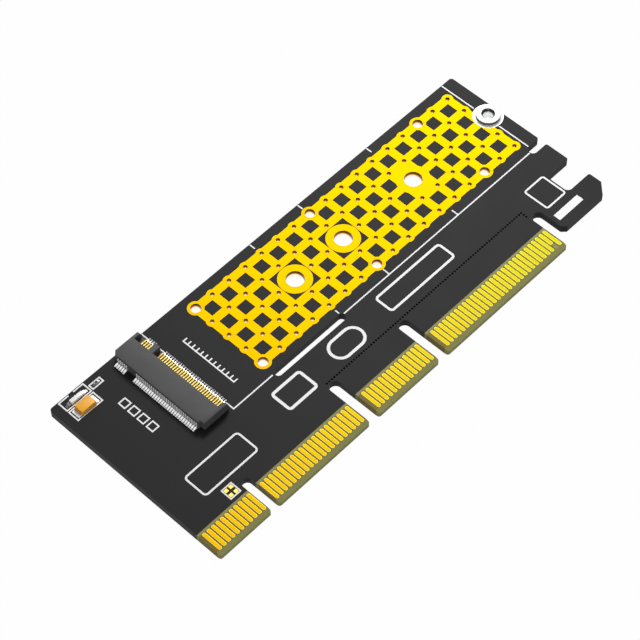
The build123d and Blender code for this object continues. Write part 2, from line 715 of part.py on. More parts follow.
def socket_housing():
    half = SOCKET_LENGTH / 2
    slot_half = CARD_SLOT_LENGTH / 2
    roof = CARD_SLOT_FLOOR + CARD_SLOT_HEIGHT
    body = socket_block(0, SOCKET_DEPTH, -half, half, 0, SOCKET_HEIGHT)
    body -= socket_block(0, END_STEP_RUN, -half, -half + END_STEP_LENGTH, 0, SOCKET_HEIGHT)
    corner_side = FAR_CHAMFER / cos(pi / 4)
    for u in (0, SOCKET_DEPTH):
        corner = Pos(SOCKET_X + u, MODULE_Y + half) * Rot(0, 0, 45) * Rectangle(corner_side, corner_side)
        body -= plate(corner, MASK_TOP, SOCKET_HEIGHT)
    nose = [
        (SOCKET_DEPTH - CHEEK_CHAMFER_RUN, SOCKET_HEIGHT),
        (SOCKET_DEPTH, SOCKET_HEIGHT - CHEEK_CHAMFER_DROP),
        (SOCKET_DEPTH, SOCKET_HEIGHT),
    ]
    body -= socket_profile(nose, MODULE_Y, SOCKET_LENGTH)
    body -= socket_block(SOCKET_BACK, SOCKET_DEPTH, -slot_half, slot_half, CARD_SLOT_FLOOR, roof)
    body -= socket_block(SHELL_DEPTH, SOCKET_DEPTH, -slot_half, slot_half, CARD_SLOT_FLOOR, SOCKET_HEIGHT)
    key = KEY_Y - MODULE_Y
    body += socket_block(SOCKET_BACK, SOCKET_DEPTH, key - KEY_RIB / 2, key + KEY_RIB / 2, 0, SOCKET_HEIGHT)
    body -= [spring_channel(n) for n in UPPER_PINS]
    for x, y in peg_spots():
        body += Pos(x, y, MASK_TOP - PEG_LENGTH / 2) * Cylinder(PEG_DIAMETER / 2, PEG_LENGTH)
    return body


def spring_channel(number):
    """Way through the back wall that one upper spring fills."""
    y = pin_y(number) - MODULE_Y
    half = SPRING_WIDTH / 2
    top = REAR_EXIT_HEIGHT + SPRING_THICKNESS
    return socket_block(0, SOCKET_BACK, y - half, y + half, REAR_EXIT_HEIGHT, top)


# Small parts

def tapered_block(x, y, z, length, width, height, draft):
    foot = Pos(x, y, z) * Rectangle(length, width)
    crown = Pos(x, y, z + height) * Rectangle(length - 2 * draft, width - 2 * draft)
    return loft([foot, crown])


def capacitor_body():
    return tapered_block(*CAP_CENTRE, COPPER_TOP + TERMINAL_STRIP, CAP_LENGTH, CAP_WIDTH, CAP_HEIGHT, CAP_DRAFT)


def capacitor_terminals():
    """Two strips that run under the body and stand at its ends."""
    pieces = []
    x, y = CAP_CENTRE
    t = TERMINAL_STRIP
    width = CAP_TERMINAL_WIDTH
    for side in (-1, 1):
        end = x + side * (CAP_LENGTH / 2 + t / 2)
        foot = x + side * (CAP_LENGTH / 2 - CAP_PAD_LENGTH / 4)
        strip = block(foot, y, COPPER_TOP, CAP_PAD_LENGTH / 2, width, t)
        strip += block(end, y, COPPER_TOP, t, width, t + CAP_HEIGHT / 2)
        pieces.append(strip)
    return pieces


def led_base():
    return block(*LED_CENTRE, COPPER_TOP, LED_LENGTH - 2 * LED_END, LED_WIDTH, LED_BASE_HEIGHT)


def led_lens():
    z = COPPER_TOP + LED_BASE_HEIGHT
    return tapered_block(*LED_CENTRE, z, LED_LENGTH - 2 * LED_END, LED_WIDTH, LED_LENS_HEIGHT, LED_LENS_DRAFT)


def led_terminals():
    reach = (LED_LENGTH - LED_END) / 2
    x, y = LED_CENTRE
    return [block(x + side * reach, y, COPPER_TOP, LED_END, LED_WIDTH, LED_BASE_HEIGHT) for side in (-1, 1)]


def resistor_body():
    return block(*RES_CENTRE, COPPER_TOP, RES_LENGTH - 2 * RES_END, RES_WIDTH, RES_HEIGHT - RES_COAT)


def resistor_coat():
    z = COPPER_TOP + RES_HEIGHT - RES_COAT
    return block(*RES_CENTRE, z, RES_LENGTH - 2 * RES_END, RES_WIDTH, RES_COAT)


def resistor_terminals():
    reach = (RES_LENGTH - RES_END) / 2
    x, y = RES_CENTRE
    return [block(x + side * reach, y, COPPER_TOP, RES_END, RES_WIDTH, RES_HEIGHT) for side in (-1, 1)]


# White print

def line_x(x1, x2, y):
    return box_plan((x1 + x2) / 2, y, x2 - x1, LINE_WIDTH)


def line_y(x, y1, y2):
    return box_plan(x, (y1 + y2) / 2, LINE_WIDTH, y2 - y1)


def frame_plan(left, low, right, high, radius, width):
    """Rounded frame between four sides."""
    length = right - left
    height = high - low
    corner = min(radius, height / 2 - LEAST_CORNER)
    outer = RectangleRounded(length, height, corner)
    inner = RectangleRounded(length - 2 * width, height - 2 * width, max(corner - width, LEAST_CORNER))
    return Pos((left + right) / 2, (low + high) / 2) * (outer - inner)


def square_frame(x, y, length, height):
    return Pos(x, y) * (Rectangle(length, height) - Rectangle(length - 2 * LINE_WIDTH, height - 2 * LINE_WIDTH))


def print_solids(plans):
    return [plate(plan, MASK_TOP, PRINT) for plan in plans]


def module_outline():
    """Print lines along two sides of the module's place, clear of the pads and slots."""
    top = BOARD_HEIGHT - EDGE_CLEARANCE
    low = OUTLINE_Y - LINE_WIDTH / 2
    stops = []
    for group in split_rows(FRONT_PADS):
        box = row_opening(group).bounding_box()
        stops.append((box.min.Y - MASK_GAP, box.max.Y + MASK_GAP))
    lines = []
    start = low
    for gap_low, gap_high in sorted(stops):
        lines.append(line_y(OUTLINE_X, start, gap_low))
        start = gap_high
    lines.append(line_y(OUTLINE_X, start, top))
    left = OUTLINE_X + LINE_WIDTH / 2
    slot_left = LONG_SLOT_LEFT - SLOT_CLEARANCE
    slot_right = LONG_SLOT_LEFT + LONG_SLOT_LENGTH + EDGE_CLEARANCE
    end_slot = BOARD_RIGHT - END_SLOT_DEPTH - EDGE_CLEARANCE
    lines.append(line_x(left, slot_left, OUTLINE_Y))
    lines.append(line_x(slot_right, end_slot, OUTLINE_Y))
    return print_solids(lines)


def length_marks():
    """Short print lines at the end of each module length."""
    top = BOARD_HEIGHT - EDGE_CLEARANCE
    grid_top = GRID_TOP + MASK_GAP
    grid_low = GRID_LOW - MASK_GAP
    slot_top = LONG_SLOT_BOTTOM + LONG_SLOT_WIDTH + EDGE_CLEARANCE
    slot_end = LONG_SLOT_LEFT + LONG_SLOT_LENGTH + EDGE_CLEARANCE
    line_top = OUTLINE_Y + LINE_WIDTH / 2
    pad = STANDOFF_PAD / 2 + MASK_GAP + EDGE_CLEARANCE
    marks = []
    for hole, setback in list(zip(HOLE_X, MARK_SETBACKS))[:-1]:
        x = hole - setback
        marks.append(line_y(x, grid_top, top))
        marks.append(line_y(x, slot_top if x < slot_end else line_top, grid_low))
    x = HOLE_X[-1] - MARK_SETBACKS[-1]
    end_slot_top = END_SLOT_BOTTOM + END_SLOT_WIDTH + EDGE_CLEARANCE
    marks.append(line_y(x, MODULE_Y + pad, top))
    marks.append(line_y(x, end_slot_top, MODULE_Y - pad))
    return print_solids(marks)


def part_boxes():
    """Frames round the small parts and the spare pads; the light's one is open at the far side."""
    x, y = LED_BOX_CENTRE
    gap = box_plan(x, y + LED_BOX[1] / 2, LED_FRAME_BREAK, 2 * LINE_WIDTH + EDGE_CLEARANCE)
    frames = [
        square_frame(*CAP_CENTRE, *CAP_BOX),
        square_frame(x, y, *LED_BOX) - gap,
        square_frame(*RES_CENTRE, *RES_BOX),
        square_frame(*SPARE_CENTRE, *SPARE_BOX),
    ]
    return print_solids(frames)


def empty_fields():
    """Plain frames, tick boxes and a scale, with nothing written in them."""
    left, length = KEY_FIELD
    low = KEY_DEPTH + KEY_FIELD_RISE
    high = LONG_SLOT_BOTTOM - KEY_FIELD_DROP
    plans = [frame_plan(left, low, left + length, high, FIELD_CORNER, THIN_LINE)]
    for k, start in enumerate(FIELD_STARTS):
        left = NOTCH_LEFTS[0] + NOTCH_WIDTH + start
        low = BREAK_LINE_Y + FIELD_RISES[k]
        high = LONG_SLOT_BOTTOM - FIELD_DROPS[k]
        corner = (high - low) / 2 if k == 1 else FIELD_CORNER
        plans.append(frame_plan(left, low, left + FIELD_LENGTHS[k], high, corner, FIELD_LINES[k]))
    left = HOOK_LEFT + HOOK_FIELD_INSETS[0]
    right = BOARD_RIGHT - HOOK_SLOT_DEPTH - HOOK_FIELD_INSETS[1]
    low = HOOK_BOTTOM + HOOK_FIELD_RISE
    high = LONG_SLOT_BOTTOM - HOOK_FIELD_DROP
    plans.append(frame_plan(left, low, right, high, HOOK_FIELD_CORNER, THIN_LINE))
    x = SOCKET_X - TICK_BOX_OFFSET[0]
    y = MODULE_Y - TICK_BOX_OFFSET[1]
    plans += [square_frame(x, y + TICK_BOX_STEP * k, TICK_BOX, TICK_BOX) for k in range(TICK_BOX_COUNT)]
    x = SOCKET_FRONT + SCALE_OFFSET[0]
    y = MODULE_Y - SCALE_OFFSET[1]
    height = SCALE_STEP * SCALE_STEPS
    scale = line_y(x, y - LINE_WIDTH / 2, y + height + LINE_WIDTH / 2)
    scale += [line_x(x, x + SCALE_TICK, y + SCALE_STEP * k) for k in range(SCALE_STEPS + 1)]
    plans.append(scale)
    return print_solids(plans)


def solid_block():
    return print_solids([box_plan(*BLOCK_CENTRE, *BLOCK_SIZE)])


# Nodes

def all_nodes():
    nodes = {
        "circuit_board": circuit_board(),
        "solder_mask_front": solder_mask_front(),
        "solder_mask_back": solder_mask_back(),
        "heat_grid": heat_grid(),
        "screw_rings_back": screw_rings_back(),
        "standoff_pad": standoff_pad(),
        "module_standoff": standoff(),
        "socket_housing": socket_housing(),
        "socket_upper_springs": [spring_upper(n) for n in UPPER_PINS],
        "socket_lower_springs": [spring_lower(n) for n in LOWER_PINS],
        "socket_rear_pads": [plate(plan, FRONT_FACE, COPPER) for plan in REAR_PADS],
        "socket_front_pads": [plate(plan, FRONT_FACE, COPPER) for plan in FRONT_PADS],
        "capacitor_body": capacitor_body(),
        "capacitor_terminals": capacitor_terminals(),
        "led_base": led_base(),
        "led_lens": led_lens(),
        "led_terminals": led_terminals(),
        "resistor_body": resistor_body(),
        "resistor_coat": resistor_coat(),
        "resistor_terminals": resistor_terminals(),
        "print_module_outline": module_outline(),
        "print_length_marks": length_marks(),
        "print_part_boxes": part_boxes(),
        "print_empty_fields": empty_fields(),
        "print_solid_block": solid_block(),
    }
    for length, x in zip(MODULE_LENGTHS, RING_X):
        nodes[f"screw_ring_{length}"] = screw_ring_front(x)
    for name, plans in SMALL_PADS.items():
        nodes[name] = [plate(plan, FRONT_FACE, COPPER) for plan in plans]
    for index, (name, columns) in enumerate(zip(SEGMENT_NAMES, COLUMNS)):
        short = len(columns) - 2 if index == len(COLUMNS) - 1 else None
        nodes[f"front_contacts_{name}"] = edge_contacts(columns, FRONT_FACE, short)
        nodes[f"back_contacts_{name}"] = edge_contacts(columns, 0, None)
    return nodes


def as_solids(shape):
    """All the solids of a shape or of a list of shapes."""
    if isinstance(shape, (list, tuple)):
        return [solid for piece in shape for solid in as_solids(piece)]
    return list(shape.solids())


os.makedirs("parts", exist_ok=True)
for name, shape in all_nodes().items():
    solids = [Pos(*ORIGIN_SHIFT) * solid for solid in as_solids(shape)]
    export_step(solids[0] if len(solids) == 1 else Compound(children=solids), f"parts/{name}.step")
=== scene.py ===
import bpy
import bmesh
import json
from math import cos, hypot, pi, radians, sin, tan
from mathutils import Matrix, Quaternion, Vector


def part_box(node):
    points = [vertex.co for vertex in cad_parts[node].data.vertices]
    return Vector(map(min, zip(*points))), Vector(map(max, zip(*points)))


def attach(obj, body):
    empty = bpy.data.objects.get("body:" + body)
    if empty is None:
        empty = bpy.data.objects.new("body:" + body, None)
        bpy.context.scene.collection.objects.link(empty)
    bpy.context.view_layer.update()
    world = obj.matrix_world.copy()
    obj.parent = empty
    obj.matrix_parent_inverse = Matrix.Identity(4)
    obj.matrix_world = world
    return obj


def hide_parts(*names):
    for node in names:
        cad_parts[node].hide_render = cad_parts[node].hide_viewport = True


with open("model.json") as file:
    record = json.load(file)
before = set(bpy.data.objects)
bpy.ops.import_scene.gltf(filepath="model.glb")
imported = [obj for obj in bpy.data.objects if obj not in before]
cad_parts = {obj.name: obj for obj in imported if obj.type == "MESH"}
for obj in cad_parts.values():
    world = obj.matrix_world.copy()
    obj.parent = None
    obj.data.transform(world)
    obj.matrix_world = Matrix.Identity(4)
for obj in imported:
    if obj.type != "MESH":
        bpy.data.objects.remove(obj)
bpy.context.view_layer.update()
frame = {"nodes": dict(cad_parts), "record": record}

# Lengths below are millimetres on the board: x from the middle of the key notch, y from
# the contact edge, z from the back contacts. Meshes are made in them and turned to metres.
MM = 0.001
BOARD_LEFT = 12.43
BOARD_LOW, BOARD_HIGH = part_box("circuit_board")
TO_FRAME = Matrix.Translation((BOARD_LOW.x + BOARD_LEFT * MM, BOARD_LOW.y, 0)) @ Matrix.Scale(MM, 4)

# Levels
COPPER = 0.04
FRONT_FACE = 1.53
MASK_TOP = 1.56
COPPER_TOP = 1.57
SOLDER_SINK = 0.005

# Places
MODULE_Y = 29.13
MASK_EDGE = 5.47
HOOK_LEFT = 74.45
SOCKET_X = 1.85
STANDOFF_X = 84.62

# Screw holes: middles, width, and how far from a middle its wall is looked for
SCREW_XS = (34.62, 46.62, 64.62)
SCREW_HOLE = 3.35
SCREW_WALL = 1.72

# Edge contacts: number and first place of each group, and the short one before the last
CONTACT_BOTTOM = 0.85
CONTACT_TOP = 4.95
CONTACT_WIDTH = 0.7
CONTACT_RADIUS = 0.3
CONTACT_COUNTS = {"power": 11, "x4": 21, "x8": 14, "x16": 30}
CONTACT_STARTS = {"power": -11.5, "x4": 1.5, "x8": 25.5, "x16": 42.5}
SHORT_GROUP = "x16"
SHORT_NUMBER = CONTACT_COUNTS[SHORT_GROUP] - 2
SHORT_X = CONTACT_STARTS[SHORT_GROUP] + SHORT_NUMBER
SHORT_CUT = 1.1
SHORT_MARGIN = 0.15


def spot(x, y, z=0.0):
    """Place in the frame, in metres, of a place on the board."""
    return TO_FRAME @ Vector((x, y, z))


# Material nodes

def node_adder(tree):
    """Shortcut that adds a node to a tree and fills its inputs. An input is given by its name,
    or as i and its number; a socket is linked, and anything else is its value."""

    def add(kind, **inputs):
        node = tree.nodes.new(kind)
        for key, value in inputs.items():
            numbered = key[0] == "i" and key[1:].isdigit()
            socket = node.inputs[int(key[1:]) if numbered else key]
            if isinstance(value, bpy.types.NodeSocket):
                tree.links.new(value, socket)
            else:
                socket.default_value = value
        return node

    return add


def new_material(name):
    """Node material, its shader, and shortcuts that add nodes and link sockets."""
    mat = bpy.data.materials.new(name)
    mat.use_nodes = True
    tree = mat.node_tree
    return mat, tree.nodes["Principled BSDF"], node_adder(tree), tree.links.new


def surface_point(add):
    """The surface point in the part's own frame, in metres."""
    return add("ShaderNodeTexCoord").outputs["Object"]


def stretched_point(add, scale):
    return add("ShaderNodeMapping", Vector=surface_point(add), Scale=scale).outputs["Vector"]


def axes_of(add, vector):
    return add("ShaderNodeSeparateXYZ", Vector=vector).outputs


def surface_way(add):
    """The axes of the way that the surface faces."""
    return axes_of(add, add("ShaderNodeNewGeometry").outputs["True Normal"])


def calc(add, operation, a, b=0.0, c=0.0):
    node = add("ShaderNodeMath", i0=a, i1=b, i2=c)
    node.operation = operation
    return node.outputs["Value"]


def vector_calc(add, operation, a, b=(0, 0, 0)):
    node = add("ShaderNodeVectorMath", i0=a, i1=b)
    node.operation = operation
    return node.outputs


def noise(add, vector, scale, detail=2.0, roughness=0.5):
    node = add("ShaderNodeTexNoise", Vector=vector, Scale=scale, Detail=detail, Roughness=roughness)
    return node.outputs["Fac"]


def spread(add, pattern, low, high):
    """Turns a pattern from 0 to 1 into one from low to high."""
    node = add("ShaderNodeMapRange", Value=pattern)
    node.inputs["To Min"].default_value = low
    node.inputs["To Max"].default_value = high
    return node.outputs["Result"]


def ramp(add, factor, stops):
    """Colour ramp through (place, colour) stops."""
    node = add("ShaderNodeValToRGB", Fac=factor)
    elements = node.color_ramp.elements
    while len(elements) < len(stops):
        elements.new(0.5)
    for element, (at, colour) in zip(elements, stops):
        element.position = at
        element.color = (*colour, 1)
    return node.outputs["Color"]


def shade(colour, factor):
    return tuple(channel * factor for channel in colour)


def tint(add, pattern, colour, dark, pale, start=0.3, end=0.7):
    """A colour that goes from a darker to a paler share of itself with a pattern."""
    return ramp(add, pattern, [(start, shade(colour, dark)), (end, shade(colour, pale))])


def mix_colours(add, link, factor, first, second):
    """First colour where the factor is 0, and second where it is 1."""
    node = add("ShaderNodeMix")
    node.data_type = "RGBA"
    link(factor, node.inputs["Factor"])
    for key, colour in (("A", first), ("B", second)):
        if isinstance(colour, tuple):
            node.inputs[key].default_value = (*colour, 1)
        else:
            link(colour, node.inputs[key])
    return node.outputs["Result"]


def bump(add, link, shader, height, strength, distance):
    node = add("ShaderNodeBump", Height=height, Strength=strength, Distance=distance)
    link(node.outputs["Normal"], shader.inputs["Normal"])


# Materials. Pattern scales are turns in a metre, and bump depths are metres.

WHITE = (1.0, 1.0, 1.0)
TIN = (0.86, 0.86, 0.87)
SOLDER = (0.98, 0.98, 0.98)
# Tin darkened as painted shade
PAINTED_SHADE_TIN = (0.16, 0.16, 0.17)
# Brownish dark tin as painted shade, for the capacitor's left lead
PAINTED_SHADE_BROWN_TIN = (0.42, 0.24, 0.12)
SPRING_GOLD = (0.4, 0.3, 0.075)
SOCKET_GREY = (0.095, 0.095, 0.096)
CAPACITOR_ORANGE = (1.0, 0.46, 0.03)
BASE_WHITE = (0.8, 0.8, 0.77)
CERAMIC = (0.72, 0.71, 0.68)
GLAZE_BLACK = (0.015, 0.015, 0.015)
INK_WHITE = (0.99, 0.99, 0.99)
MASK_BLACK = (0.0122, 0.0122, 0.0122)
# Black painted shade on the routed edges of the board
EDGE_PAINTED_SHADE = (0.005, 0.005, 0.005)
LAMINATE = (0.3, 0.295, 0.105)
LAMINATE_BETWEEN = (0.2, 0.16, 0.03)

# Golds along the card, from its left end to its right end: a painted light gradient, more orange at the
# left and more lemon at the right; the rim golds are paler, a painted highlight on the contacts' eased
# rims; the pale gold stays the same all along
GRID_GOLD_PAINTED_LIGHT = [(0.0, (0.63, 0.355, 0.0)), (1.0, (0.59, 0.45, 0.0))]
CONTACT_GOLD_PAINTED_LIGHT = [(0.0, (0.58, 0.37, 0.0)), (1.0, (0.44, 0.43, 0.01))]
RIM_GOLD_PAINTED_HIGHLIGHT = [(0.0, (0.85, 0.62, 0.13)), (1.0, (0.72, 0.72, 0.13))]
PALE_GOLD = [(0.0, (0.8, 0.62, 0.14)), (1.0, (0.8, 0.62, 0.14))]
GOLD_DRIFT = 0.2
FACE_TILT = 0.35

# Plated walls of holes, from the back to the front: copper with painted light near the back, painted shade
# at the mouth, shifted by the way that the wall faces
WALL_COPPER_AND_PAINTED_SHADE = [
    (0.0, (1.0, 1.0, 0.94)), (0.36, (1.0, 0.95, 0.8)), (0.46, (0.9, 0.38, 0.04)),
    (0.62, (0.12, 0.045, 0.006)), (1.0, (0.015, 0.007, 0.003)),
]
WALL_TURN = 0.06
WALL_BEND = 0.09
WALL_SPAN = 1.1
WALL_ROUGHNESS = 0.25

WEAVE_PITCH = 0.45
FLAT_SPECULAR = 0.1

# The standoff: painted shade on its walls and painted light on its faces, and its bore from painted light
# in its depth to painted shade at its mouth
STANDOFF_WALL_PAINTED_SHADE = (0.3, (0.1, 0.1, 0.1))
STANDOFF_FACE_PAINTED_LIGHT = (0.75, (0.9, 0.9, 0.9))
BORE_PAINTED_LIGHT_LEVEL = 1.3
BORE_PAINTED_SHADE_LEVEL = 1.75
BORE_PAINTED_SHADE_TONES = [(0.0, (0.98, 0.98, 0.98)), (1.0, (0.06, 0.06, 0.06))]


def grained(name, colour, roughness, scale, depth, variation=0.06, specular=0.5):
    """Plain material with a fine grain in its colour, gloss and surface."""
    mat, shader, add, link = new_material(name)
    where = surface_point(add)
    grain = noise(add, where, scale, detail=3.0)
    broad = noise(add, where, scale / 12)
    link(tint(add, broad, colour, 1 - variation, 1 + variation), shader.inputs["Base Color"])
    link(spread(add, grain, roughness - 0.06, roughness + 0.06), shader.inputs["Roughness"])
    shader.inputs["Specular IOR Level"].default_value = specular
    bump(add, link, shader, grain, 0.35, depth)
    return mat


def mask_material():
    """Matt lacquer with orange peel and a faint cloudiness."""
    mat, shader, add, link = new_material("mask_lacquer")
    where = surface_point(add)
    peel = noise(add, where, 4200, roughness=0.4)
    cloud = noise(add, where, 160, detail=3.0)
    link(tint(add, cloud, MASK_BLACK, 0.93, 1.07), shader.inputs["Base Color"])
    link(spread(add, cloud, 0.5, 0.58), shader.inputs["Roughness"])
    shader.inputs["Specular IOR Level"].default_value = FLAT_SPECULAR
    bump(add, link, shader, peel, 0.12, 0.00001)
    return mat


def copper_wall_painted_shade(add):
    """Colour of a hole's plated wall, copper with painted light and shade: pale near the back, dark near
    the front, and shifted a little by the way that the wall faces."""
    share = calc(add, "DIVIDE", axes_of(add, surface_point(add))["Z"], COPPER_TOP * MM)
    way = surface_way(add)
    turn = calc(add, "SUBTRACT", way["Y"], way["X"])
    bend = calc(add, "MULTIPLY", turn, turn)
    shift = calc(add, "MULTIPLY_ADD", bend, WALL_BEND, calc(add, "MULTIPLY", turn, WALL_TURN))
    return ramp(add, calc(add, "DIVIDE", calc(add, "ADD", share, shift), WALL_SPAN), WALL_COPPER_AND_PAINTED_SHADE)


def gold_material(name, tones):
    """Gold over copper: yellow on the faces, in tones that change along the card as a painted light
    gradient, and copper with painted light and shade on the walls of the holes."""
    mat, shader, add, link = new_material(name)
    where = surface_point(add)
    grain = noise(add, where, 6500, detail=3.0)
    cloud = noise(add, where, 220)
    # Place along the card, which drives the painted light gradient
    along = calc(add, "MULTIPLY_ADD", axes_of(add, where)["X"], 1 / (BOARD_HIGH.x - BOARD_LOW.x), 0.5)
    drift = calc(add, "MULTIPLY_ADD", cloud, GOLD_DRIFT, -GOLD_DRIFT / 2)
    face = ramp(add, calc(add, "ADD", along, drift), tones)
    is_face = calc(add, "GREATER_THAN", calc(add, "ABSOLUTE", surface_way(add)["Z"]), FACE_TILT)
    link(mix_colours(add, link, is_face, copper_wall_painted_shade(add), face), shader.inputs["Base Color"])
    gloss = spread(add, grain, 0.68, 0.76)
    rough = add("ShaderNodeMix", i0=is_face, i2=WALL_ROUGHNESS, i3=gloss)
    link(rough.outputs["Result"], shader.inputs["Roughness"])
    shader.inputs["Metallic"].default_value = 1.0
    bump(add, link, shader, grain, 0.1, 0.000003)
    return mat


def laminate_pattern(add, point, x, y):
    """Glass weave with fibres."""
    turns = 2 * pi / (WEAVE_PITCH * MM)
    warp = calc(add, "SINE", calc(add, "MULTIPLY", x, turns))
    weft = calc(add, "SINE", calc(add, "MULTIPLY", y, turns))
    weave = calc(add, "MULTIPLY_ADD", calc(add, "MULTIPLY", warp, weft), 0.5, 0.5)
    fibre = noise(add, point, 1500, detail=3.0)
    return calc(add, "MULTIPLY_ADD", fibre, 0.5, calc(add, "MULTIPLY", weave, 0.5))


def between_contacts(add, x, y):
    """1 in the rows of contacts, but not below the short one, and 0 elsewhere."""
    above = calc(add, "GREATER_THAN", y, spot(0, CONTACT_BOTTOM).y)
    below = calc(add, "LESS_THAN", y, spot(0, CONTACT_TOP).y)
    aside = calc(add, "ABSOLUTE", calc(add, "SUBTRACT", x, spot(SHORT_X, 0).x))
    clear = calc(add, "GREATER_THAN", aside, CONTACT_WIDTH / 2 * MM)
    beyond = calc(add, "GREATER_THAN", y, spot(0, CONTACT_BOTTOM + SHORT_CUT - SHORT_MARGIN).y)
    in_rows = calc(add, "MULTIPLY", above, below)
    return calc(add, "MULTIPLY", in_rows, calc(add, "MAXIMUM", clear, beyond))


def in_screw_hole(add, point):
    """1 on the walls of the screw holes, and 0 elsewhere."""
    found = 0.0
    for hole_x in SCREW_XS:
        centre = spot(hole_x, MODULE_Y)
        away = vector_calc(add, "SUBTRACT", point, (centre.x, centre.y, 0))["Vector"]
        flat = vector_calc(add, "MULTIPLY", away, (1, 1, 0))["Vector"]
        reach = vector_calc(add, "LENGTH", flat)["Value"]
        found = calc(add, "MAXIMUM", found, calc(add, "LESS_THAN", reach, SCREW_WALL * MM))
    return found


def board_material():
    """Bare laminate: olive with a glass weave at the contacts and browner between them, black as painted
    shade on the routed edges above them, and copper with painted light and shade on the walls of the screw
    holes."""
    mat, shader, add, link = new_material("glass_laminate")
    point = surface_point(add)
    axes = axes_of(add, point)
    x = axes["X"]
    y = axes["Y"]
    pattern = laminate_pattern(add, point, x, y)
    bare = tint(add, pattern, LAMINATE, 0.92, 1.08, 0.25, 0.75)
    # Laminate browner in the rows of the contacts
    contact_rows_tone = mix_colours(add, link, between_contacts(add, x, y), bare, LAMINATE_BETWEEN)
    # Black painted shade on the routed edges above the contacts and round the hook
    above = calc(add, "GREATER_THAN", y, spot(0, MASK_EDGE).y)
    hook = calc(add, "GREATER_THAN", x, spot(HOOK_LEFT - 1, 0).x)
    edge = mix_colours(add, link, calc(add, "MAXIMUM", above, hook), contact_rows_tone, EDGE_PAINTED_SHADE)
    in_hole = in_screw_hole(add, point)
    # Screw hole walls: copper with painted light and shade
    link(mix_colours(add, link, in_hole, edge, copper_wall_painted_shade(add)), shader.inputs["Base Color"])
    link(in_hole, shader.inputs["Metallic"])
    rough = add("ShaderNodeMix", i0=in_hole, i2=0.5, i3=WALL_ROUGHNESS)
    link(rough.outputs["Result"], shader.inputs["Roughness"])
    shader.inputs["Specular IOR Level"].default_value = FLAT_SPECULAR
    bump(add, link, shader, pattern, 0.15, 0.00001)
    return mat


def metal_lines(add, stretch):
    """Fine lines, square to the axis that the pattern is denser along."""
    return noise(add, stretched_point(add, stretch), 900, detail=4.0, roughness=0.6)


def brushed(name, colour, roughness, stretch, metallic):
    """Metal with fine lines."""
    mat, shader, add, link = new_material(name)
    lines = metal_lines(add, stretch)
    link(tint(add, lines, colour, 0.94, 1.04), shader.inputs["Base Color"])
    link(spread(add, lines, roughness - 0.07, roughness + 0.07), shader.inputs["Roughness"])
    shader.inputs["Metallic"].default_value = metallic
    bump(add, link, shader, lines, 0.1, 0.000004)
    return mat


def lens_material():
    """Milky epoxy, faintly cloudy."""
    mat, shader, add, link = new_material("milky_epoxy")
    cloud = noise(add, surface_point(add), 1200)
    link(tint(add, cloud, WHITE, 0.94, 0.98), shader.inputs["Base Color"])
    shader.inputs["Roughness"].default_value = 0.35
    bump(add, link, shader, cloud, 0.1, 0.000005)
    return mat


def bore_material_painted_shade():
    """Turned metal of the bore, with painted shade near its mouth and painted light in its depth, where
    light comes in from below.
    """
    mat, shader, add, link = new_material("turned_bore_painted_shade")
    depth = add("ShaderNodeMapRange", Value=axes_of(add, surface_point(add))["Z"])
    depth.inputs["From Min"].default_value = BORE_PAINTED_LIGHT_LEVEL * MM
    depth.inputs["From Max"].default_value = BORE_PAINTED_SHADE_LEVEL * MM
    link(ramp(add, depth.outputs["Result"], BORE_PAINTED_SHADE_TONES), shader.inputs["Base Color"])
    shader.inputs["Metallic"].default_value = 0.9
    shader.inputs["Roughness"].default_value = 0.25
    return mat


def standoff_material():
    """Turned tin, with painted light on the faces and painted shade on the upright walls."""
    mat, shader, add, link = new_material("turned_tin_painted_light_and_shade")
    lines = metal_lines(add, LINES_LEVEL)
    flatness = calc(add, "ABSOLUTE", surface_way(add)["Z"])
    level = calc(add, "MULTIPLY_ADD", lines, 0.1, flatness)
    link(ramp(add, level, [STANDOFF_WALL_PAINTED_SHADE, STANDOFF_FACE_PAINTED_LIGHT]), shader.inputs["Base Color"])
    shader.inputs["Metallic"].default_value = 0.35
    shader.inputs["Roughness"].default_value = 0.5
    bump(add, link, shader, lines, 0.1, 0.000004)
    return mat


LINES_ACROSS = (3, 1, 1)
LINES_ALONG = (1, 6, 1)
LINES_LEVEL = (1, 1, 6)

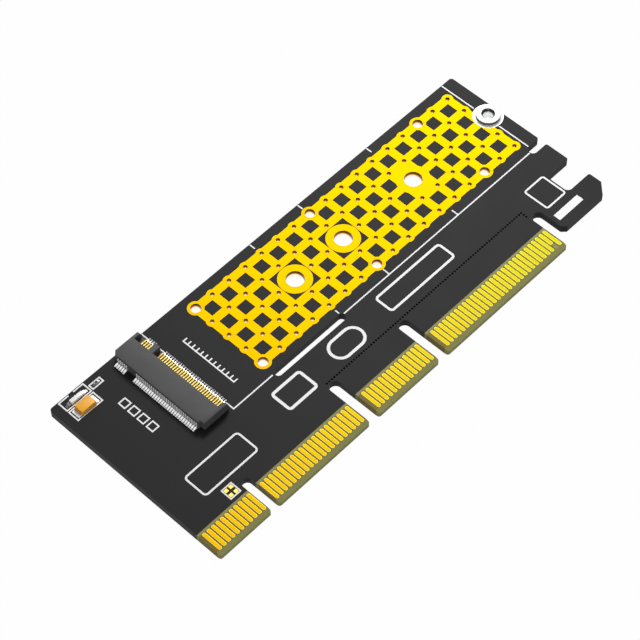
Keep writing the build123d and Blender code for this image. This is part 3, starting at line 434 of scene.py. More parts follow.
# Looks by slot, and then further looks for single nodes and pieces
MATERIALS = {
    "laminate": board_material(),
    "solder_mask": mask_material(),
    "gold": gold_material("plated_gold", GRID_GOLD_PAINTED_LIGHT),
    "tin": brushed("bright_tin", TIN, 0.55, LINES_ACROSS, metallic=0.35),
    "standoff_metal": standoff_material(),
    "socket_plastic": grained(
        "moulded_grey", SOCKET_GREY, 0.55, 5000, 0.000012, variation=0.04, specular=0.12
    ),
    "spring_metal": brushed("spring_gold", SPRING_GOLD, 0.55, LINES_ALONG, metallic=1.0),
    "capacitor_epoxy": grained(
        "orange_epoxy", CAPACITOR_ORANGE, 0.45, 4000, 0.00001, variation=0.04, specular=0.3
    ),
    "led_base": grained("white_base", BASE_WHITE, 0.5, 3500, 0.00001),
    "led_lens": lens_material(),
    "resistor_ceramic": grained("fired_ceramic", CERAMIC, 0.55, 4500, 0.00001),
    "resistor_coat": grained("black_glaze", GLAZE_BLACK, 0.25, 3000, 0.000006),
    "white_print": grained("white_ink", INK_WHITE, 0.6, 7000, 0.000012, variation=0.02),
    "hard_gold": gold_material("hard_gold", CONTACT_GOLD_PAINTED_LIGHT),
    "rim_gold_painted_highlight": gold_material("rim_gold_painted_highlight", RIM_GOLD_PAINTED_HIGHLIGHT),
    "pale_gold": gold_material("pale_gold", PALE_GOLD),
    "wet_solder": brushed("wet_solder", SOLDER, 0.36, LINES_ACROSS, metallic=0.8),
    "tin_in_painted_shade": brushed("tin_in_painted_shade", PAINTED_SHADE_TIN, 0.5, LINES_ACROSS, metallic=0.6),
    "brown_tin_in_painted_shade": brushed("brown_tin_in_painted_shade", PAINTED_SHADE_BROWN_TIN, 0.5, LINES_ACROSS, metallic=0.8),
    "bore_in_painted_shade": bore_material_painted_shade(),
}
SLOT_OF = {part["node"]: part["material_slot"] for part in frame["record"]["subparts"]}
# The socket's front pads are tin darkened as painted shade
LOOK_OF = {"socket_front_pads": "tin_in_painted_shade", "spare_resistor_pads": "pale_gold"}
for node_name, node in frame["nodes"].items():
    node.data.materials.clear()
    node.data.materials.append(MATERIALS[LOOK_OF.get(node_name, SLOT_OF[node_name])])


# Mesh code

def as_piece(bm, name, looks, nodes=(), smooth=40):
    """Object from a mesh in board millimetres, riding on the card, with its looks as its materials in
    order.
    """
    bmesh.ops.recalc_face_normals(bm, faces=bm.faces)
    mesh = bpy.data.meshes.new(name)
    bm.to_mesh(mesh)
    bm.free()
    mesh.transform(TO_FRAME)
    for look in looks:
        mesh.materials.append(MATERIALS[look])
    mesh.polygons.foreach_set("use_smooth", [True] * len(mesh.polygons))
    mesh.set_sharp_from_angle(angle=radians(smooth))
    piece = bpy.data.objects.new(name, mesh)
    bpy.context.scene.collection.objects.link(piece)
    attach(piece, "root")
    if nodes:
        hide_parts(*nodes)


def add_band(bm, row, after, closed=True, material=0):
    """Faces between two rows of points."""
    count = len(row)
    for j in range(count if closed else count - 1):
        n = (j + 1) % count
        bm.faces.new((row[j], after[j], after[n], row[n])).material_index = material


def add_prism(bm, outline, low, high, along="z", material=0):
    """Closed outline pushed from low to high along an axis.
    Outline points are (x, y) for z, and (x, z) for y."""
    def at(point, level):
        return (point[0], point[1], level) if along == "z" else (point[0], level, point[1])

    bottom = [bm.verts.new(at(p, low)) for p in outline]
    top = [bm.verts.new(at(p, high)) for p in outline]
    bm.faces.new(bottom[::-1]).material_index = material
    bm.faces.new(top).material_index = material
    add_band(bm, bottom, top, True, material)


def round_axis(bm, centre, angle, points):
    """Row of (radius, height) points at an angle round an upright axis."""
    x, y = centre
    return [bm.verts.new((x + r * cos(angle), y + r * sin(angle), z)) for r, z in points]


def add_lathe(bm, centre, profile, steps, closed=True, material=0):
    """(radius, height) profile turned round an upright axis."""
    rings = [round_axis(bm, centre, 2 * pi * k / steps, profile) for k in range(steps)]
    for ring, after in zip(rings, rings[1:] + rings[:1]):
        add_band(bm, ring, after, closed, material)


def add_soft_box(bm, low, high, ease, segments=2, material=0, top_only=False):
    """Box with eased edges."""
    verts = bmesh.ops.create_cube(bm, size=1)["verts"]
    centre = [(a + b) / 2 for a, b in zip(low, high)]
    size = [b - a for a, b in zip(low, high)]
    for v in verts:
        v.co = Vector([c + v.co[i] * size[i] for i, c in enumerate(centre)])
    for face in {f for v in verts for f in v.link_faces}:
        face.material_index = material
    edges = {e for v in verts for e in v.link_edges}
    if top_only:
        edges = {e for e in edges if max(v.co.z for v in e.verts) > centre[2]}
    bmesh.ops.bevel(bm, geom=list(edges), offset=ease, segments=segments, profile=0.5, affect="EDGES")


def rounded_rectangle(x, y, width, height, radius, steps=6):
    """Corner-rounded outline, counter-clockwise."""
    points = []
    corners = [(1, 1, 0), (-1, 1, 1), (-1, -1, 2), (1, -1, 3)]
    for sx, sy, quarter in corners:
        cx = x + sx * (width / 2 - radius)
        cy = y + sy * (height / 2 - radius)
        for k in range(steps + 1):
            a = pi / 2 * (quarter + k / steps)
            points.append((cx + radius * cos(a), cy + radius * sin(a)))
    return points


def add_pillow(bm, outline_at, low, high, ease, inset, material=0, rim=0):
    """Thin plate whose upper rim is eased: outline_at(shrink) gives its outline."""
    levels = [(0, low), (0, high - ease), (inset * 0.4, high - ease * 0.3), (inset, high)]
    rings = [[bm.verts.new((x, y, z)) for x, y in outline_at(shrink)] for shrink, z in levels]
    for lower, upper in zip(rings, rings[1:]):
        add_band(bm, lower, upper, True, material if lower is rings[0] else rim)
    bm.faces.new(rings[0][::-1]).material_index = material
    bm.faces.new(rings[-1]).material_index = material


def strip_outline(path, thickness, radius=0.1, steps=4):
    """Side view of a bent strip: a centre line with rounded bends, thickened both ways."""
    points = [Vector(p) for p in path]
    line = [points[0]]
    for before, here, after in zip(points, points[1:], points[2:]):
        a = (before - here).normalized()
        b = (after - here).normalized()
        reach = min(radius / tan(a.angle(b) / 2), (before - here).length / 2.2, (after - here).length / 2.2)
        start = here + a * reach
        end = here + b * reach
        for k in range(steps + 1):
            t = k / steps
            line.append(start * (1 - t) ** 2 + here * 2 * t * (1 - t) + end * t ** 2)
    line.append(points[-1])
    left = []
    right = []
    for k, p in enumerate(line):
        ahead = line[min(k + 1, len(line) - 1)] - line[max(k - 1, 0)]
        side = Vector((-ahead.y, ahead.x)).normalized() * thickness / 2
        left.append(p + side)
        right.append(p - side)
    return [tuple(p) for p in left + right[::-1]]


# Edge contacts with eased rims, in place of the flat ones; the rims carry a painted highlight

RIM_EASE = 0.02
RIM_INSET = 0.07


def contact_bars(segment, side):
    """One group's contacts on one face. The back's are made face up and then turned over."""
    front = side == "front"
    low, high = (FRONT_FACE, COPPER_TOP) if front else (-COPPER, 0)
    bm = bmesh.new()
    for k in range(CONTACT_COUNTS[segment]):
        x = CONTACT_STARTS[segment] + k
        cut = SHORT_CUT if front and (segment, k) == (SHORT_GROUP, SHORT_NUMBER) else 0
        y = (CONTACT_BOTTOM + cut + CONTACT_TOP) / 2
        length = CONTACT_TOP - CONTACT_BOTTOM - cut

        def outline(shrink):
            return rounded_rectangle(
                x, y, CONTACT_WIDTH - 2 * shrink, length - 2 * shrink, CONTACT_RADIUS - shrink
            )

        # The eased rims get the paler gold as a painted highlight
        add_pillow(bm, outline, low, high, RIM_EASE, RIM_INSET, 0, 1)
    if not front:
        bmesh.ops.scale(bm, vec=(1, 1, -1), verts=bm.verts)
    as_piece(bm, f"{side}_bars_{segment}", ["hard_gold", "rim_gold_painted_highlight"], [f"{side}_contacts_{segment}"])


for segment_name in CONTACT_COUNTS:
    contact_bars(segment_name, "front")
    contact_bars(segment_name, "back")


# Raised rims round the plated holes of the heat grid

GRID_PITCH = 4.0
GRID_X = 18.62
GRID_COLUMNS = 17
GRID_ROWS = 5
SINK_COLUMNS = (0, 7, 14)
FREE_OF_SCREW = 3.0

# Width of each kind of hole, how far its rim reaches from it, and steps round it
VIA = (0.8, 0.2, 24)
SINK = (1.9, 0.26, 40)
SCREW = (SCREW_HOLE, 0.22, 72)
RIM_GAP = 0.02
RIM_ROOT = 0.01
RIM_RISE = 0.02
RIM_SLOPE = 0.05
RIM_LIP = 0.004


def grid_spots():
    for column in range(GRID_COLUMNS):
        for row in range(GRID_ROWS):
            x = GRID_X + GRID_PITCH * column
            y = MODULE_Y + GRID_PITCH * ((GRID_ROWS - 1) / 2 - row)
            yield column, row, x, y


def add_rim(bm, centre, width, reach, steps):
    inner = width / 2 + RIM_GAP
    outer = width / 2 + reach
    root = COPPER_TOP - RIM_ROOT
    crest = COPPER_TOP + RIM_RISE
    profile = [
        (inner, root), (outer, root), (outer, COPPER_TOP),
        (outer - RIM_SLOPE, crest), (inner + RIM_SLOPE, crest), (inner, COPPER_TOP + RIM_LIP),
    ]
    add_lathe(bm, centre, profile, steps)


def hole_rims():
    bm = bmesh.new()
    for column, row, x, y in grid_spots():
        near = min(hypot(x - hole, y - MODULE_Y) for hole in (*SCREW_XS, STANDOFF_X))
        if column in SINK_COLUMNS and row in (0, GRID_ROWS - 1):
            add_rim(bm, (x, y), *SINK)
        elif near > FREE_OF_SCREW:
            add_rim(bm, (x, y), *VIA)
    for x in SCREW_XS:
        add_rim(bm, (x, MODULE_Y), *SCREW)
    as_piece(bm, "hole_rims", ["gold"])


hole_rims()


# Standoff: turned body with eased edges and a thread in its bore, and solder round it

STANDOFF_TOP = 2.29
BODY_RADIUS = 2.25
BODY_EASE = 0.06
SHANK_RADIUS = 1.55
SHANK_EASE = 0.08
BORE_RADIUS = 1.025
BORE_EASE = 0.12
MOUTH_RADIUS = 1.25
MOUTH_DEPTH = 0.24
MOUTH_LIP = 0.02
THREAD_LOW = 0.15
THREAD_HIGH = STANDOFF_TOP - 0.3
THREAD_LEAD = 0.45
THREAD_DEPTH = 0.05
THREAD_ROOT = 0.03
THREAD_CREST = (0.22, 0.3)
THREAD_WIDTH = 0.5
THREAD_STEPS = 36
THREAD_FADE = 10
FILLET = [(2.2, -SOLDER_SINK), (2.62, -SOLDER_SINK), (2.6, 0.012), (2.36, 0.03), (2.28, 0.06), (2.2, 0.07)]
FILLET_RIGHT = 86.85
TURNED_STEPS = 96


def add_thread(bm, centre, material):
    """Helical ridge on the wall of the bore, fading out at both ends."""
    turns = (THREAD_HIGH - THREAD_LOW) / THREAD_LEAD - THREAD_WIDTH
    count = int(turns * THREAD_STEPS)
    rows = []
    for k in range(count + 1):
        z = THREAD_LOW + THREAD_LEAD * k / THREAD_STEPS
        fade = min(1.0, k / THREAD_FADE, (count - k) / THREAD_FADE)
        root = BORE_RADIUS + THREAD_ROOT
        crest = BORE_RADIUS - THREAD_DEPTH * fade
        points = [
            (root, z), (crest, z + THREAD_LEAD * THREAD_CREST[0]),
            (crest, z + THREAD_LEAD * THREAD_CREST[1]), (root, z + THREAD_LEAD * THREAD_WIDTH),
        ]
        rows.append(round_axis(bm, centre, 2 * pi * k / THREAD_STEPS, points))
    for row, after in zip(rows, rows[1:]):
        add_band(bm, row, after, True, material)
    bm.faces.new(rows[0]).material_index = material
    bm.faces.new(rows[-1][::-1]).material_index = material


def standoff():
    top = STANDOFF_TOP
    centre = (STANDOFF_X, MODULE_Y)
    outside = [
        (BORE_RADIUS + BORE_EASE, 0.0), (SHANK_RADIUS - SHANK_EASE, 0.0),
        (SHANK_RADIUS, SHANK_EASE), (SHANK_RADIUS, COPPER_TOP),
        (BODY_RADIUS - BODY_EASE, COPPER_TOP), (BODY_RADIUS, COPPER_TOP + BODY_EASE),
        (BODY_RADIUS, top - BODY_EASE), (BODY_RADIUS - BODY_EASE, top),
        (MOUTH_RADIUS + MOUTH_LIP, top), (MOUTH_RADIUS, top - MOUTH_LIP),
    ]
    inside = [
        (MOUTH_RADIUS, top - MOUTH_LIP), (BORE_RADIUS, top - MOUTH_DEPTH),
        (BORE_RADIUS, BORE_EASE), (BORE_RADIUS + BORE_EASE, 0.0),
    ]
    bm = bmesh.new()
    add_lathe(bm, centre, outside, TURNED_STEPS, False, 0)
    add_lathe(bm, centre, inside, TURNED_STEPS, False, 1)
    bmesh.ops.remove_doubles(bm, verts=bm.verts, dist=0.0001)
    add_thread(bm, centre, 1)
    as_piece(bm, "threaded_standoff", ["standoff_metal", "bore_in_painted_shade"], ["module_standoff"], 50)


def solder_ring():
    """Low fillet of tin between the standoff and its pad, cut off at the card's right edge."""
    bm = bmesh.new()
    profile = [(radius, COPPER_TOP + rise) for radius, rise in FILLET]
    add_lathe(bm, (STANDOFF_X, MODULE_Y), profile, TURNED_STEPS)
    for v in bm.verts:
        v.co.x = min(v.co.x, FILLET_RIGHT)
    as_piece(bm, "standoff_fillet", ["tin"])


standoff()
solder_ring()


# Drive socket. Its own lengths are u along the card from its rear, v across the card from
# the module's middle, and w up from the solder mask.

SOCKET_DEPTH = 6.25
SOCKET_HALF = 10.55
SOCKET_HEIGHT = 2.0
STEP_RUN = 0.55
STEP_LENGTH = 0.9
CORNER_CUT = 0.6
NOSE_RUN = 0.5
NOSE_LEVEL = 1.0
HOUSING_EASE = 0.05
SHELL_DEPTH = 4.45
SLOT_BACK = 2.77
SLOT_HALF = 10.0
SLOT_FLOOR = 0.55
SLOT_ROOF = 1.6
KEY_MIDDLE = 6.125
KEY_HALF = 0.5
KEY_ROOT = 0.4
KEY_INSET = 0.02
PEG_RADIUS = 0.55
PEG_REACH = 9.15
PEG_LENGTH = 1.2
PEG_TAPER = 0.15
PEG_TIP = 0.2
PEG_AXIS = 0.001

# Places outside the housing that its cutters reach
CLEAR_FRONT = 8.0
CLEAR_SIDE = 12.0
CLEAR_TOP = 3.0


def in_socket(u, v, w):
    return (SOCKET_X + u, MODULE_Y + v, MASK_TOP + w)


def scratch_object(bm, name):
    mesh = bpy.data.meshes.new(name)
    bmesh.ops.recalc_face_normals(bm, faces=bm.faces)
    bm.to_mesh(mesh)
    bm.free()
    made = bpy.data.objects.new(name, mesh)
    bpy.context.scene.collection.objects.link(made)
    return made


def socket_box(u0, u1, v0, v1, w0, w1):
    bm = bmesh.new()
    low = in_socket(u0, v0, w0)
    high = in_socket(u1, v1, w1)
    outline = [(low[0], low[1]), (high[0], low[1]), (high[0], high[1]), (low[0], high[1])]
    add_prism(bm, outline, low[2], high[2])
    return scratch_object(bm, "cutter")


def socket_body():
    """Housing with its outline from above: a step at one rear corner, and both corners at the
    other end cut off."""
    plan = [
        (0, -SOCKET_HALF + STEP_LENGTH), (STEP_RUN, -SOCKET_HALF + STEP_LENGTH),
        (STEP_RUN, -SOCKET_HALF), (SOCKET_DEPTH, -SOCKET_HALF),
        (SOCKET_DEPTH, SOCKET_HALF - CORNER_CUT), (SOCKET_DEPTH - CORNER_CUT, SOCKET_HALF),
        (CORNER_CUT, SOCKET_HALF), (0, SOCKET_HALF - CORNER_CUT),
    ]
    bm = bmesh.new()
    outline = [in_socket(u, v, 0)[:2] for u, v in plan]
    add_prism(bm, outline, MASK_TOP, MASK_TOP + SOCKET_HEIGHT)
    return scratch_object(bm, "socket_base")


def nose_cutter():
    """Slopes the upper front edge."""
    ahead = SOCKET_DEPTH + 1
    side_view = [
        (SOCKET_DEPTH - NOSE_RUN, SOCKET_HEIGHT), (SOCKET_DEPTH, NOSE_LEVEL), (ahead, NOSE_LEVEL),
        (ahead, CLEAR_TOP), (SOCKET_DEPTH - 2 * NOSE_RUN, CLEAR_TOP),
    ]
    bm = bmesh.new()
    outline = [(SOCKET_X + u, MASK_TOP + w) for u, w in side_view]
    add_prism(bm, outline, MODULE_Y - CLEAR_SIDE, MODULE_Y + CLEAR_SIDE, "y")
    return scratch_object(bm, "nose")


def combined(base, steps):
    """Applies boolean steps and an edge bevel, and returns the mesh."""
    for operation, other in steps:
        mod = base.modifiers.new("join", "BOOLEAN")
        mod.operation = operation
        mod.object = other
        mod.solver = "EXACT"
    ease = base.modifiers.new("ease", "BEVEL")
    ease.width = HOUSING_EASE
    ease.segments = 2
    ease.limit_method = "ANGLE"
    ease.angle_limit = radians(30)
    graph = bpy.context.evaluated_depsgraph_get()
    mesh = bpy.data.meshes.new_from_object(base.evaluated_get(graph))
    bm = bmesh.new()
    bm.from_mesh(mesh)
    for item in (base, *[other for _, other in steps]):
        bpy.data.objects.remove(item)
    bpy.data.meshes.remove(mesh)
    return bm


def socket_housing():
    key_low = KEY_MIDDLE - KEY_HALF
    key_high = KEY_MIDDLE + KEY_HALF
    key_top = SOCKET_HEIGHT - KEY_INSET
    steps = [
        ("DIFFERENCE", nose_cutter()),
        ("DIFFERENCE", socket_box(SLOT_BACK, CLEAR_FRONT, -SLOT_HALF, SLOT_HALF, SLOT_FLOOR, SLOT_ROOF)),
        ("DIFFERENCE", socket_box(SHELL_DEPTH, CLEAR_FRONT, -SLOT_HALF, SLOT_HALF, SLOT_FLOOR, CLEAR_TOP)),
        ("UNION", socket_box(SLOT_BACK - KEY_ROOT, SOCKET_DEPTH, key_low, key_high, KEY_INSET, key_top)),
    ]
    bm = combined(socket_body(), steps)
    for v in bm.verts:
        v.co.z = min(v.co.z, MASK_TOP + SOCKET_HEIGHT)
    for side in (-1, 1):
        x, y, z = in_socket(SOCKET_DEPTH / 2, side * PEG_REACH, 0)
        low = z - PEG_LENGTH
        peg = [
            (PEG_AXIS, low), (PEG_RADIUS - PEG_TAPER, low), (PEG_RADIUS, low + PEG_TIP),
            (PEG_RADIUS, z + PEG_TIP), (PEG_AXIS, z + PEG_TIP),
        ]
        add_lathe(bm, (x, y), peg, 32)
    as_piece(bm, "socket_shell", ["socket_plastic"], ["socket_housing"], 35)


socket_housing()


# Springs of the socket

PIN_STEP = 0.25
PIN_COUNT = 75
KEY_PINS = (59, 66)
SPRING_WIDTH = 0.24
SPRING_THICKNESS = 0.12
SPRING_FOOT = 0.85
SPRING_MIDDLE = SPRING_THICKNESS / 2
SOLE = COPPER_TOP - MASK_TOP + SPRING_MIDDLE
ARM_LEVEL = 1.25 + SPRING_MIDDLE
TONGUE_LEVEL = SLOT_FLOOR + SPRING_MIDDLE

# Centre lines as (u, w): the rear row over the slot, and the front row under it
REAR_PATH = [
    (-SPRING_FOOT, SOLE), (-0.12, SOLE), (-SPRING_MIDDLE, 0.3), (-SPRING_MIDDLE, ARM_LEVEL),
    (SHELL_DEPTH - 1.4, ARM_LEVEL), (SHELL_DEPTH - 0.6, 1.16), (SHELL_DEPTH - 0.25, ARM_LEVEL),
]
FRONT_PATH = [
    (SOCKET_DEPTH + SPRING_FOOT, SOLE), (SOCKET_DEPTH + 0.16, SOLE), (SOCKET_DEPTH + SPRING_MIDDLE, 0.25),
    (SOCKET_DEPTH + SPRING_MIDDLE, TONGUE_LEVEL), (SOCKET_DEPTH - 0.9, TONGUE_LEVEL),
    (SLOT_BACK + 0.9, SLOT_FLOOR + 0.26), (SLOT_BACK + 0.25, TONGUE_LEVEL),
]

# Levels below which the strips are tinned: the whole of the rear row, and the front row's feet
REAR_TINNED = 5.0
FRONT_TINNED = 0.4


def pin_y(number):
    return MODULE_Y + (number - (PIN_COUNT + 1) / 2) * PIN_STEP


def pins(first):
    """Every second pin number from the first, without those of the key."""
    return [n for n in range(first, PIN_COUNT + 1, 2) if not KEY_PINS[0] <= n <= KEY_PINS[1]]


def add_strip(bm, path, y, tinned_below):
    """Strip across one pin place. Faces lower than a level, but not its ends, have the second look."""
    outline = [(SOCKET_X + u, MASK_TOP + w) for u, w in strip_outline(path, SPRING_THICKNESS)]
    count = len(outline)
    low = [bm.verts.new((x, y - SPRING_WIDTH / 2, z)) for x, z in outline]
    high = [bm.verts.new((x, y + SPRING_WIDTH / 2, z)) for x, z in outline]
    half = count // 2
    for k in range(half - 1):
        a, b, c, d = k, k + 1, count - 2 - k, count - 1 - k
        tinned = max(outline[i][1] for i in (a, b, c, d)) < MASK_TOP + tinned_below
        for face in (
            (low[a], low[b], low[c], low[d]), (high[d], high[c], high[b], high[a]),
            (low[a], high[a], high[b], low[b]), (low[c], high[c], high[d], low[d]),
        ):
            bm.faces.new(face).material_index = int(tinned)
    bm.faces.new((low[0], low[count - 1], high[count - 1], high[0]))
    bm.faces.new((low[half - 1], high[half - 1], high[half], low[half]))


def springs(name, node, look, first, path, tinned_below):
    bm = bmesh.new()
    for n in pins(first):
        add_strip(bm, path, pin_y(n), tinned_below)
    as_piece(bm, name, ["spring_metal", look], [node], 50)


springs("rear_springs", "socket_upper_springs", "tin", 1, REAR_PATH, REAR_TINNED)
springs("front_springs", "socket_lower_springs", "wet_solder", 2, FRONT_PATH, FRONT_TINNED)


# Solder on the feet of the springs: toe and bend as places, heights there, and half width
REAR_SOLDER = (SOCKET_X - SPRING_FOOT - 0.08, SOCKET_X - 0.2, 0.04, 0.34, 0.175)
FRONT_SOLDER = (
    SOCKET_X + SOCKET_DEPTH + SPRING_FOOT + 0.04, SOCKET_X + SOCKET_DEPTH + 0.42, 0.14, 0.16, 0.15,
)


def solder_joints():
    """A wetted wedge of tin on each foot, high at the bend and thin at the toe; the front row's wedges are
    dark tin as painted shade.
    """
    bm = bmesh.new()
    low = COPPER_TOP - SOLDER_SINK
    for look, (first, row) in enumerate(((1, REAR_SOLDER), (2, FRONT_SOLDER))):
        toe, bend, toe_rise, bend_rise, half = row
        outline = [(toe, low), (bend, low), (bend, low + bend_rise), (toe, low + toe_rise)]
        for n in pins(first):
            add_prism(bm, outline, pin_y(n) - half, pin_y(n) + half, "y", look)
    as_piece(bm, "foot_solder", ["wet_solder", "tin_in_painted_shade"])


solder_joints()


# Small parts: the middle and the sizes of each

CAP = (-7.8, 36.15)
CAP_HALF_LENGTH = 1.65
CAP_HALF_WIDTH = 1.05
CAP_HEIGHT = 0.75
CAP_TAPER_X = 0.07
CAP_TAPER_Y = 0.1
CAP_EASE = 0.1
LEAD = 0.12
LEAD_HALF_WIDTH = 0.63
LEAD_START = 0.95
LEAD_HEIGHT = 0.49
LEAD_BEND = 0.08

LED = (-7.8, 38.365)
LED_HALF_LENGTH = 1.35
LED_HALF_WIDTH = 0.4
LED_BASE_HEIGHT = 0.25
LED_HEIGHT = 0.6
LED_EASE = 0.03
LENS_EASE = 0.1

RES = (-3.475, 38.25)

# Pairs of pads: length over both, length of one, width
CAP_PADS = (4.7, 1.25, 1.75)
LED_PADS = (4.7, 1.0, 0.6)
RES_PADS = (1.55, 0.55, 0.5)
PAD_RADIUS = 0.08

# Metal ends of the light and the resistor: middle, half length, half width, height, edge ease,
# segments; and the solder outside them: (out, up) points and half width
LED_END = (1.65, 0.3, LED_HALF_WIDTH, LED_BASE_HEIGHT, 0.04, 2)
LED_WEDGE = ([(0.2, -SOLDER_SINK), (0.65, -SOLDER_SINK), (0.42, 0.06), (0.28, 0.2)], 0.26)
RES_END = (0.375, 0.125, 0.25, 0.35, 0.04, 3)
RES_WEDGE = ([(0.08, -SOLDER_SINK), (0.36, -SOLDER_SINK), (0.22, 0.08), (0.12, 0.24)], 0.22)


def solder_pads(name, node, centre, pads, looks):
    """Pair of pads with a soft rim, replacing the flat ones; looks are for left and right."""
    span, length, width = pads
    bm = bmesh.new()
    for index, side in enumerate((-1, 1)):
        x = centre[0] + side * (span - length) / 2

        def outline(shrink):
            return rounded_rectangle(
                x, centre[1], length - 2 * shrink, width - 2 * shrink, PAD_RADIUS - shrink
            )

        add_pillow(bm, outline, FRONT_FACE, COPPER_TOP, RIM_EASE, RIM_EASE, index, index)
    as_piece(bm, name, looks, [node])


def metal_ends(name, node, centre, end, wedge):
    """Left and right metal end of a small part, each with its wedge of solder; the left one is dark tin as
    painted shade.
    """
    away, half_length, half_width, height, ease, segments = end
    points, wedge_half = wedge
    bm = bmesh.new()
    for index, side in enumerate((-1, 1)):
        x = centre[0] + side * away
        low = (x - half_length, centre[1] - half_width, COPPER_TOP)
        high = (x + half_length, centre[1] + half_width, COPPER_TOP + height)
        add_soft_box(bm, low, high, ease, segments, index)
        outline = [(x + side * out, COPPER_TOP + up) for out, up in points]
        add_prism(bm, outline, centre[1] - wedge_half, centre[1] + wedge_half, "y", index)
    as_piece(bm, name, ["tin_in_painted_shade", "tin"], [node], 50)


def capacitor():
    x, y = CAP
    low = COPPER_TOP + LEAD
    bm = bmesh.new()
    corner = (x - CAP_HALF_LENGTH, y - CAP_HALF_WIDTH, low)
    far_corner = (x + CAP_HALF_LENGTH, y + CAP_HALF_WIDTH, low + CAP_HEIGHT)
    add_soft_box(bm, corner, far_corner, CAP_EASE, 3)
    for v in bm.verts:
        rise = (v.co.z - low) / CAP_HEIGHT
        v.co.x = x + (v.co.x - x) * (1 - CAP_TAPER_X * rise)
        v.co.y = y + (v.co.y - y) * (1 - CAP_TAPER_Y * rise)
    as_piece(bm, "capacitor_case", ["capacitor_epoxy"], ["capacitor_body"], 50)
    bm = bmesh.new()
    level = COPPER_TOP + LEAD / 2
    for index, side in enumerate((-1, 1)):
        out = x + side * (CAP_HALF_LENGTH + LEAD / 2)
        path = [(x + side * LEAD_START, level), (out, level), (out, COPPER_TOP + LEAD_HEIGHT)]
        outline = strip_outline(path, LEAD, LEAD_BEND)
        add_prism(bm, outline, y - LEAD_HALF_WIDTH, y + LEAD_HALF_WIDTH, "y", index)
    # Left lead in painted shade, right lead in plain tin
    as_piece(bm, "capacitor_leads", ["brown_tin_in_painted_shade", "tin"], ["capacitor_terminals"], 50)
    solder_pads("capacitor_solder", "capacitor_pads", CAP, CAP_PADS, ["tin", "tin"])


def light():
    x, y = LED
    seam = COPPER_TOP + LED_BASE_HEIGHT
    left, right = x - LED_HALF_LENGTH, x + LED_HALF_LENGTH
    near, far = y - LED_HALF_WIDTH, y + LED_HALF_WIDTH
    bm = bmesh.new()
    add_soft_box(bm, (left, near, COPPER_TOP), (right, far, seam), LED_EASE, 2)
    as_piece(bm, "led_board", ["led_base"], ["led_base"], 50)
    bm = bmesh.new()
    add_soft_box(bm, (left, near, seam), (right, far, COPPER_TOP + LED_HEIGHT), LENS_EASE, 4, 0, True)
    as_piece(bm, "led_dome", ["led_lens"], ["led_lens"], 60)
    metal_ends("led_caps", "led_terminals", LED, LED_END, LED_WEDGE)
    # Left pad in painted shade, right pad in plain tin
    solder_pads("led_solder", "led_pads", LED, LED_PADS, ["tin_in_painted_shade", "tin"])


def resistor():
    metal_ends("resistor_caps", "resistor_terminals", RES, RES_END, RES_WEDGE)
    # Left pad in painted shade, right pad in plain tin
    solder_pads("resistor_solder", "resistor_pads", RES, RES_PADS, ["tin_in_painted_shade", "tin"])


capacitor()
light()
resistor()


# Stage, in metres

FLOOR_HALF = 3.0
FLOOR_LEVEL = -0.00003
FLOOR_GREY = (0.5, 0.5, 0.5, 1)
FLOOR_SHOWN = 0.985
WORLD_LIGHT = 0.16
KEY_WAY = Vector((0.5, 0.56, 1.0)).normalized()
KEY_AIM = spot(86, 22, 1.5)
KEY_DISTANCE = 0.37
KEY_SIZE = 0.13
KEY_POWER = 1.28
FILL_WAY = Vector((-0.62, -0.68, 0.42)).normalized()
FILL_AIM = spot(10, 20, 1.5)
FILL_DISTANCE = 0.5
FILL_SIZE = 0.2
FILL_POWER = 0.6


def plain_white(add):
    """1 for rays that show the floor or the world: straight, mirrored, or through a surface."""
    rays = add("ShaderNodeLightPath").outputs
    seen = calc(add, "MAXIMUM", rays["Is Camera Ray"], rays["Is Glossy Ray"])
    return calc(add, "MAXIMUM", seen, rays["Is Transmission Ray"])


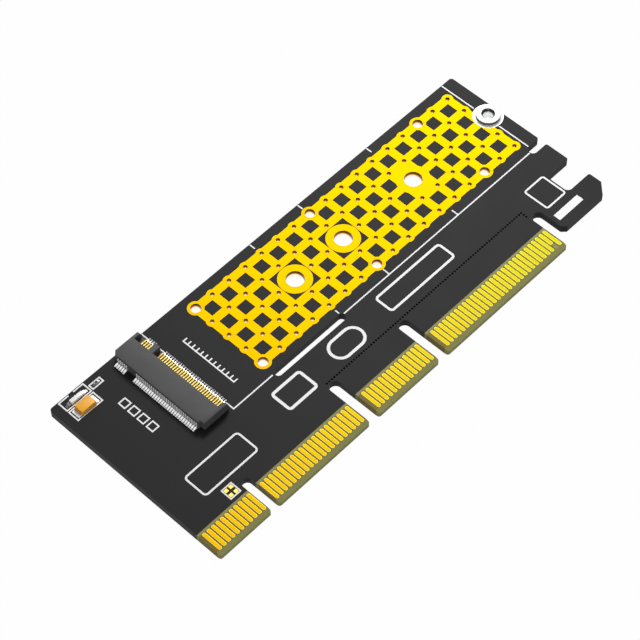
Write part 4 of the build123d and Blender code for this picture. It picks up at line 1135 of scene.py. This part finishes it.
def stage_floor():
    """Pale floor that keeps a faint shadow and otherwise shows white."""
    half = FLOOR_HALF
    corners = [(x, y, FLOOR_LEVEL) for x, y in ((-half, -half), (half, -half), (half, half), (-half, half))]
    mesh = bpy.data.meshes.new("floor")
    mesh.from_pydata(corners, [], [(0, 1, 2, 3)])
    floor = bpy.data.objects.new("floor", mesh)
    bpy.context.scene.collection.objects.link(floor)
    mat, shader, add, link = new_material("pale_floor")
    shader.inputs["Base Color"].default_value = FLOOR_GREY
    shader.inputs["Roughness"].default_value = 0.9
    shader.inputs["Specular IOR Level"].default_value = 0.0
    share = calc(add, "MULTIPLY", plain_white(add), FLOOR_SHOWN)
    glow = add("ShaderNodeEmission", Color=(*WHITE, 1), Strength=1.0)
    mix = add("ShaderNodeMixShader", i0=share, i1=shader.outputs["BSDF"], i2=glow.outputs["Emission"])
    link(mix.outputs["Shader"], mat.node_tree.nodes["Material Output"].inputs["Surface"])
    mesh.materials.append(mat)


def studio_world():
    """Faint even light that shows as plain white."""
    world = bpy.data.worlds.new("studio")
    bpy.context.scene.world = world
    world.use_nodes = True
    world.node_tree.nodes.clear()
    add = node_adder(world.node_tree)
    lit = add("ShaderNodeBackground", Color=(*WHITE, 1), Strength=WORLD_LIGHT)
    shown = add("ShaderNodeBackground", Color=(*WHITE, 1), Strength=1.0)
    mix = add(
        "ShaderNodeMixShader", i0=plain_white(add), i1=lit.outputs["Background"],
        i2=shown.outputs["Background"],
    )
    add("ShaderNodeOutputWorld", Surface=mix.outputs["Shader"])


def add_and_aim(name, data, place, turn):
    made = bpy.data.objects.new(name, data)
    made.location = place
    made.rotation_mode = "QUATERNION"
    made.rotation_quaternion = turn
    bpy.context.scene.collection.objects.link(made)
    return made


def area_light(name, aim, way, distance, size, power):
    data = bpy.data.lights.new(name, "AREA")
    data.shape = "DISK"
    data.size = size
    data.energy = power
    add_and_aim(name, data, aim + way * distance, (-way).to_track_quat("-Z", "Y"))


stage_floor()
studio_world()
area_light("key", KEY_AIM, KEY_WAY, KEY_DISTANCE, KEY_SIZE, KEY_POWER)
area_light("fill", FILL_AIM, FILL_WAY, FILL_DISTANCE, FILL_SIZE, FILL_POWER)


# Camera: places in metres, roll in degrees, lens and sensor in millimetres

CAMERA_AT = Vector((-0.169682, -0.159700, 0.324131))
CAMERA_AIM = Vector((-0.005921, 0.000064, 0.00157))
CAMERA_ROLL = 0.81
CAMERA_LENS = 131.642
CAMERA_SENSOR = 36


def make_camera():
    data = bpy.data.cameras.new("camera")
    data.lens = CAMERA_LENS
    data.sensor_width = CAMERA_SENSOR
    data.clip_start = 0.01
    data.clip_end = 20
    look = (CAMERA_AIM - CAMERA_AT).to_track_quat("-Z", "Y")
    roll = Quaternion((0, 0, 1), -radians(CAMERA_ROLL))
    bpy.context.scene.camera = add_and_aim("camera", data, CAMERA_AT, look @ roll)


make_camera()
bpy.context.scene.view_settings.view_transform = "Standard"
